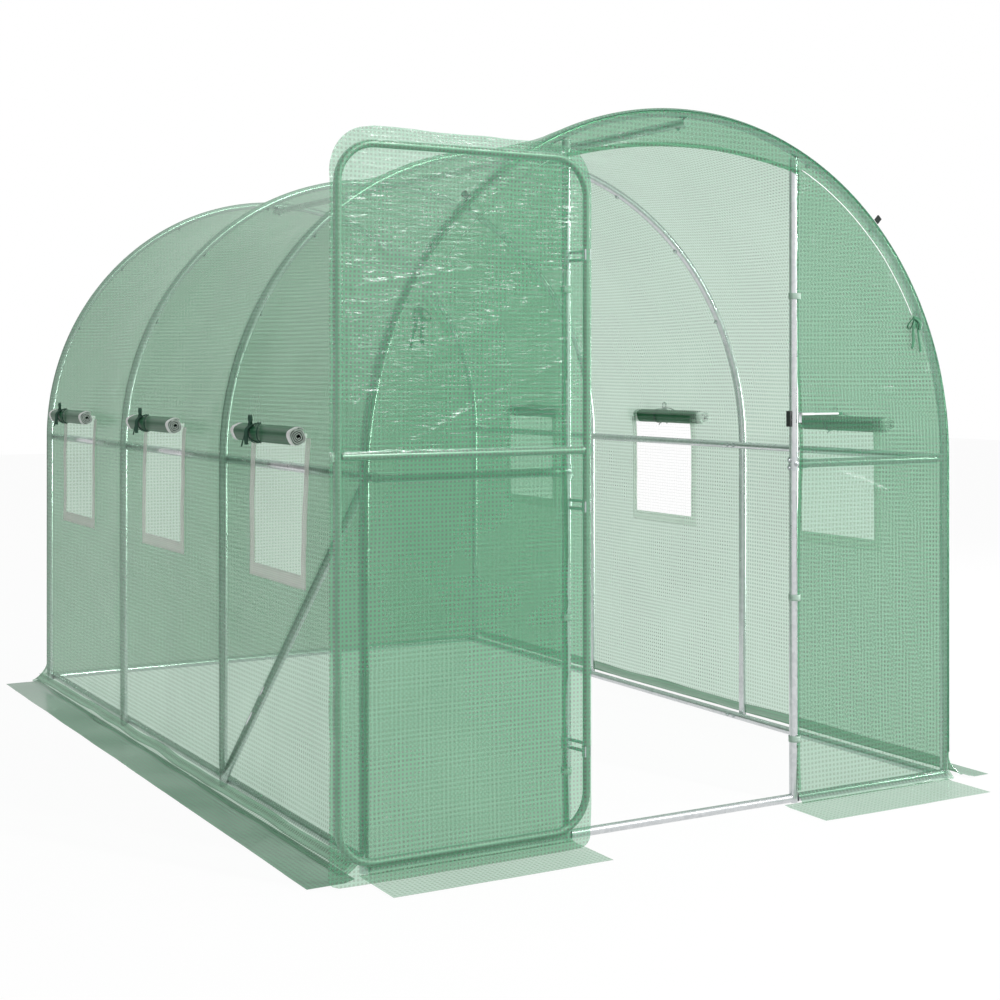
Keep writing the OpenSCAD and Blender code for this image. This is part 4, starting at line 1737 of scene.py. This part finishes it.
@dataclass
class Studio:
    """A pale floor, soft lamps and the camera."""

    eye: tuple[float, float, float] = (-2.76, -5.2855, 1.256)
    turn: float = -29.77
    lens: float = 59.95
    shift_y: float = -0.1293

    def build(self) -> None:
        """Makes the floor, the world, the lamps and the camera."""
        self.floor()
        self.world()
        self.card("left_card", (-4.6, 4.4, 2.0), (3.6, 4.0))
        self.card("right_card", (5.2, -3.0, 2.0), (3.4, 4.0))
        self.lamp("key", (2.6, -6.6, 4.2), (-0.2, -1.5, 1.0), 2.4, 40.0)
        self.lamp("glint", (1.9, -6.8, 4.5), (-0.6, -1.5, 1.3), 0.40, 325.0)
        self.lamp("side", (6.6, -0.6, 0.4), (0.9, 0.0, 0.3), 2.4, 620.0)
        self.lamp("glint_right", (3.97, -3.76, 2.17), (0.65, -1.5, 0.92), 0.22, 52.0)
        self.lamp("top", (0.2, -0.2, 6.2), (0.0, 0.0, 0.8), 4.0, 80.0)
        data = bpy.data.cameras.new("camera")
        data.lens = self.lens
        data.shift_y = self.shift_y
        data.clip_end = 100
        camera = bpy.data.objects.new("camera", data)
        camera.location = self.eye
        camera.rotation_euler = (math.radians(90), 0, math.radians(self.turn))
        bpy.context.collection.objects.link(camera)
        bpy.context.scene.camera = camera
        bpy.context.scene.view_settings.view_transform = "Standard"
        bpy.context.scene.cycles.transparent_max_bounces = 40

    def lamp(self, name: str, place: tuple[float, float, float],
             aim: tuple[float, float, float], size: float, power: float) -> None:
        """Adds one area lamp, softer the larger it is.

        Args:
            name: its name.
            place: where it stands.
            aim: the point it looks at.
            size: side of its square.
            power: in watts.
        """
        data = bpy.data.lights.new(name, "AREA")
        data.size = size
        data.energy = power
        lamp = bpy.data.objects.new(name, data)
        lamp.location = place
        lamp.rotation_euler = (Vector(aim) - Vector(place)).to_track_quat("-Z", "Y").to_euler()
        bpy.context.collection.objects.link(lamp)

    def card(self, name: str, place: tuple[float, float, float],
             size: tuple[float, float]) -> None:
        """Stands up a dark card that only mirrored rays see, which draws the tubes' edges.

        Args:
            name: its name.
            place: its middle.
            size: its width and height.
        """
        deselect()
        facing = math.atan2(-place[1], -place[0])
        bpy.ops.mesh.primitive_plane_add(size=1.0, location=(0, 0, 0))
        piece = bpy.context.object
        piece.name = name
        piece.data.transform(
            Matrix.Translation(place) @ Matrix.Rotation(facing, 4, "Z")
            @ Matrix.Rotation(math.pi / 2, 4, "Y") @ Matrix.Diagonal((size[1], size[0], 1.0, 1.0)))
        piece.data.materials.append(
            PlainFinish("black_studio_card", colour="#1c1f1e", second="#232625",
                        roughness=0.9).build())
        piece.visible_camera = False
        piece.visible_diffuse = False
        piece.visible_transmission = False
        piece.visible_shadow = False

    def seen(self, tree: bpy.types.NodeTree) -> bpy.types.NodeSocket:
        """Returns 1 for rays that show the background: straight, mirrored or through glass."""
        path = add_node(tree, "ShaderNodeLightPath")
        both = add_node(tree, "ShaderNodeMath", {"operation": "MAXIMUM"},
                        {0: path.outputs["Is Camera Ray"], 1: path.outputs["Is Glossy Ray"]})
        return add_node(tree, "ShaderNodeMath", {"operation": "MAXIMUM"},
                        {0: both.outputs[0], 1: path.outputs["Is Transmission Ray"]}).outputs[0]

    def floor(self) -> None:
        """Makes the pale floor, white to the camera but for the object's shadow."""
        points = np.array([[-20, -20, 0], [20, -20, 0], [20, 20, 0], [-20, 20, 0]], dtype=float)
        floor = mesh_object("floor", points, [(0, 1, 2, 3)])
        material = bpy.data.materials.new("pale_floor")
        material.use_nodes = True
        tree = material.node_tree
        tree.nodes.clear()
        paint = add_node(tree, "ShaderNodeBsdfDiffuse", None, {"Color": linear("#f4f5f4")})
        white = add_node(tree, "ShaderNodeEmission", None, {"Strength": 1.0})
        share = add_node(tree, "ShaderNodeMath", {"operation": "MULTIPLY"},
                         {0: self.seen(tree), 1: 0.95})
        mixed = add_node(tree, "ShaderNodeMixShader", None,
                         {0: share.outputs[0], 1: paint.outputs[0], 2: white.outputs[0]})
        add_node(tree, "ShaderNodeOutputMaterial", inputs={"Surface": mixed.outputs[0]})
        floor.data.materials.append(material)

    def world(self) -> None:
        """Makes a world that is white to look at and softer as a light."""
        world = bpy.data.worlds.new("studio")
        bpy.context.scene.world = world
        world.use_nodes = True
        tree = world.node_tree
        tree.nodes.clear()
        strength = add_node(tree, "ShaderNodeMapRange", None,
                            {"Value": self.seen(tree), "To Min": 0.38, "To Max": 1.0})
        back = add_node(tree, "ShaderNodeBackground", None,
                        {"Color": (1.0, 1.0, 1.0, 1.0), "Strength": strength.outputs["Result"]})
        add_node(tree, "ShaderNodeOutputWorld", inputs={"Surface": back.outputs[0]})


def main() -> None:
    """Builds the greenhouse piece by piece."""
    # Woven tape between two films, coated: soft green, see-through, with a wet sheen.
    sheet = ScrimSheet("woven_polyethylene_laminate").build()
    # The same cloth on walls and roof as a darker, more opaque copy with a greyer glow: painted
    # shade on the walls and roof.
    wall = ScrimSheet("woven_polyethylene_laminate_cover", thread="#2c8c62", cell="#4e514d",
                      thread_glow="#cfd3d0", cell_glow="#989a98", passed="#d9f1e1",
                      cell_passed="#d3f1dc", solid_thread=0.49, solid_cell=0.61).build()
    # The same cloth folded double: nearly opaque and duller.
    skirt = ScrimSheet("doubled_polyethylene_laminate", solid_thread=0.86, solid_cell=0.92,
                       thread="#5c9777", cell="#718277", thread_glow="#8fb09c",
                       cell_glow="#8a9a90", crinkle=0.3).build()
    # The same galvanised tube on the door: rougher, so its highlights are soft, and darker and a
    # little green, which is painted shade on the door's tubes seen through the sheet.
    door_tube = GalvanisedTube("dulled_galvanised_steel_tube", light="#b6bdb9",
                               dark="#9fa8a3", roughness=0.55).build()
    # The same cloth on the door: a closer weave and a stronger green.
    door_film = ScrimSheet("woven_polyethylene_laminate_door", pitch=0.0110,
                           thread="#4fae82", cell="#7b7976").build()
    # The same woven tape as on the left borders, made far more see-through: a lit copy that paints
    # light through the right wall's borders.
    lit_tape_copy = ScrimSheet("polyester_binding_tape_single", thread="#f3efee", cell="#e9e5e4",
                           thread_glow="#fbf8f8", cell_glow="#f4f1f1", passed="#f4f4f4",
                           cell_passed="#f0f0f0", solid_thread=0.34, solid_cell=0.28,
                           pitch=0.006, through=0.6, roughness=0.6, crinkle=0.1).build()
    net = InsectNet("polyester_insect_net").build()
    # Woven tape over the sheet: off-white and dull.
    tape = ScrimSheet("polyester_binding_tape", thread="#f3efee", cell="#e9e5e4",
                      thread_glow="#fbf8f8", cell_glow="#f4f1f1", passed="#f4f4f4",
                      cell_passed="#f0f0f0", solid_thread=0.76, solid_cell=0.70,
                      pitch=0.006, through=0.5, roughness=0.6, crinkle=0.1).build()
    # Woven plastic tapes: dark green, lighter in the bows.
    webbing = PlainFinish("polypropylene_webbing", colour="#0c3a2a", second="#154d38",
                          roughness=0.6, grain=700.0).build()
    bow = PlainFinish("polypropylene_bow_tape", colour="#2f6a4b", second="#3a7857",
                      roughness=0.5, grain=700.0).build()
    black = PlainFinish("black_polyester_tape", colour="#0b1714", second="#12211c",
                        roughness=0.85, grain=900.0).build()
    white = PlainFinish("white_powder_coat", colour="#e9ebea", second="#dfe2e1",
                        roughness=0.4, grain=900.0).build()
    # Piping sewn along the arc over the doorway: white and slightly glossy.
    piping = PlainFinish("white_polyester_piping", colour="#e9ebea", second="#dfe2e1",
                         roughness=0.4, grain=900.0).build()
    # Sewn and folded edges of the laminate: green, a little glossy where folded.
    bead = PlainFinish("sewn_edge_bead", colour="#4f7863", second="#5d8671",
                       roughness=0.5, grain=900.0).build()
    band = PlainFinish("folded_laminate_band", colour="#a3b8ac", second="#91a99b",
                       roughness=0.35, grain=500.0).build()
    # Moulded nylon: near black, half matt.
    plastic = PlainFinish("moulded_nylon", colour="#202423", second="#2b302f").build()
    # Pressed and zinc plated: brighter than the tubes, with a fine grain.
    fitting = PlainFinish("zinc_plated_steel", colour="#b9bec0", second="#c9cdce",
                          roughness=0.35, metallic=1.0, grain=300.0).build()
    rolled = RolledSheet("rolled_polyethylene_laminate").build()
    tube = GalvanisedTube("galvanised_steel_tube").build()

    layout = Layout.read()
    window = Window()
    Studio().build()
    tubes = TubeFrame()
    tubes.dress(tube, door_tube, fitting)
    tubes.plug(white)
    cover = TunnelCover(layout, window)
    cover.build(wall, skirt)
    ends = EndSheets(layout, cover)
    ends.front(sheet)
    ends.back(sheet)
    GroundSkirts().build(skirt, sheet)
    Windows(layout, window, cover).build(net, tape, lit_tape_copy, rolled)
    RollTies(layout, window).build(webbing)
    FrontTrim(layout, ends, cover).build(piping, bead, bow, black, band)
    Fittings(layout).build(fitting, plastic, white, bow)
    DoorSheet(layout).build(door_film)


if __name__ == "__main__":
    main()
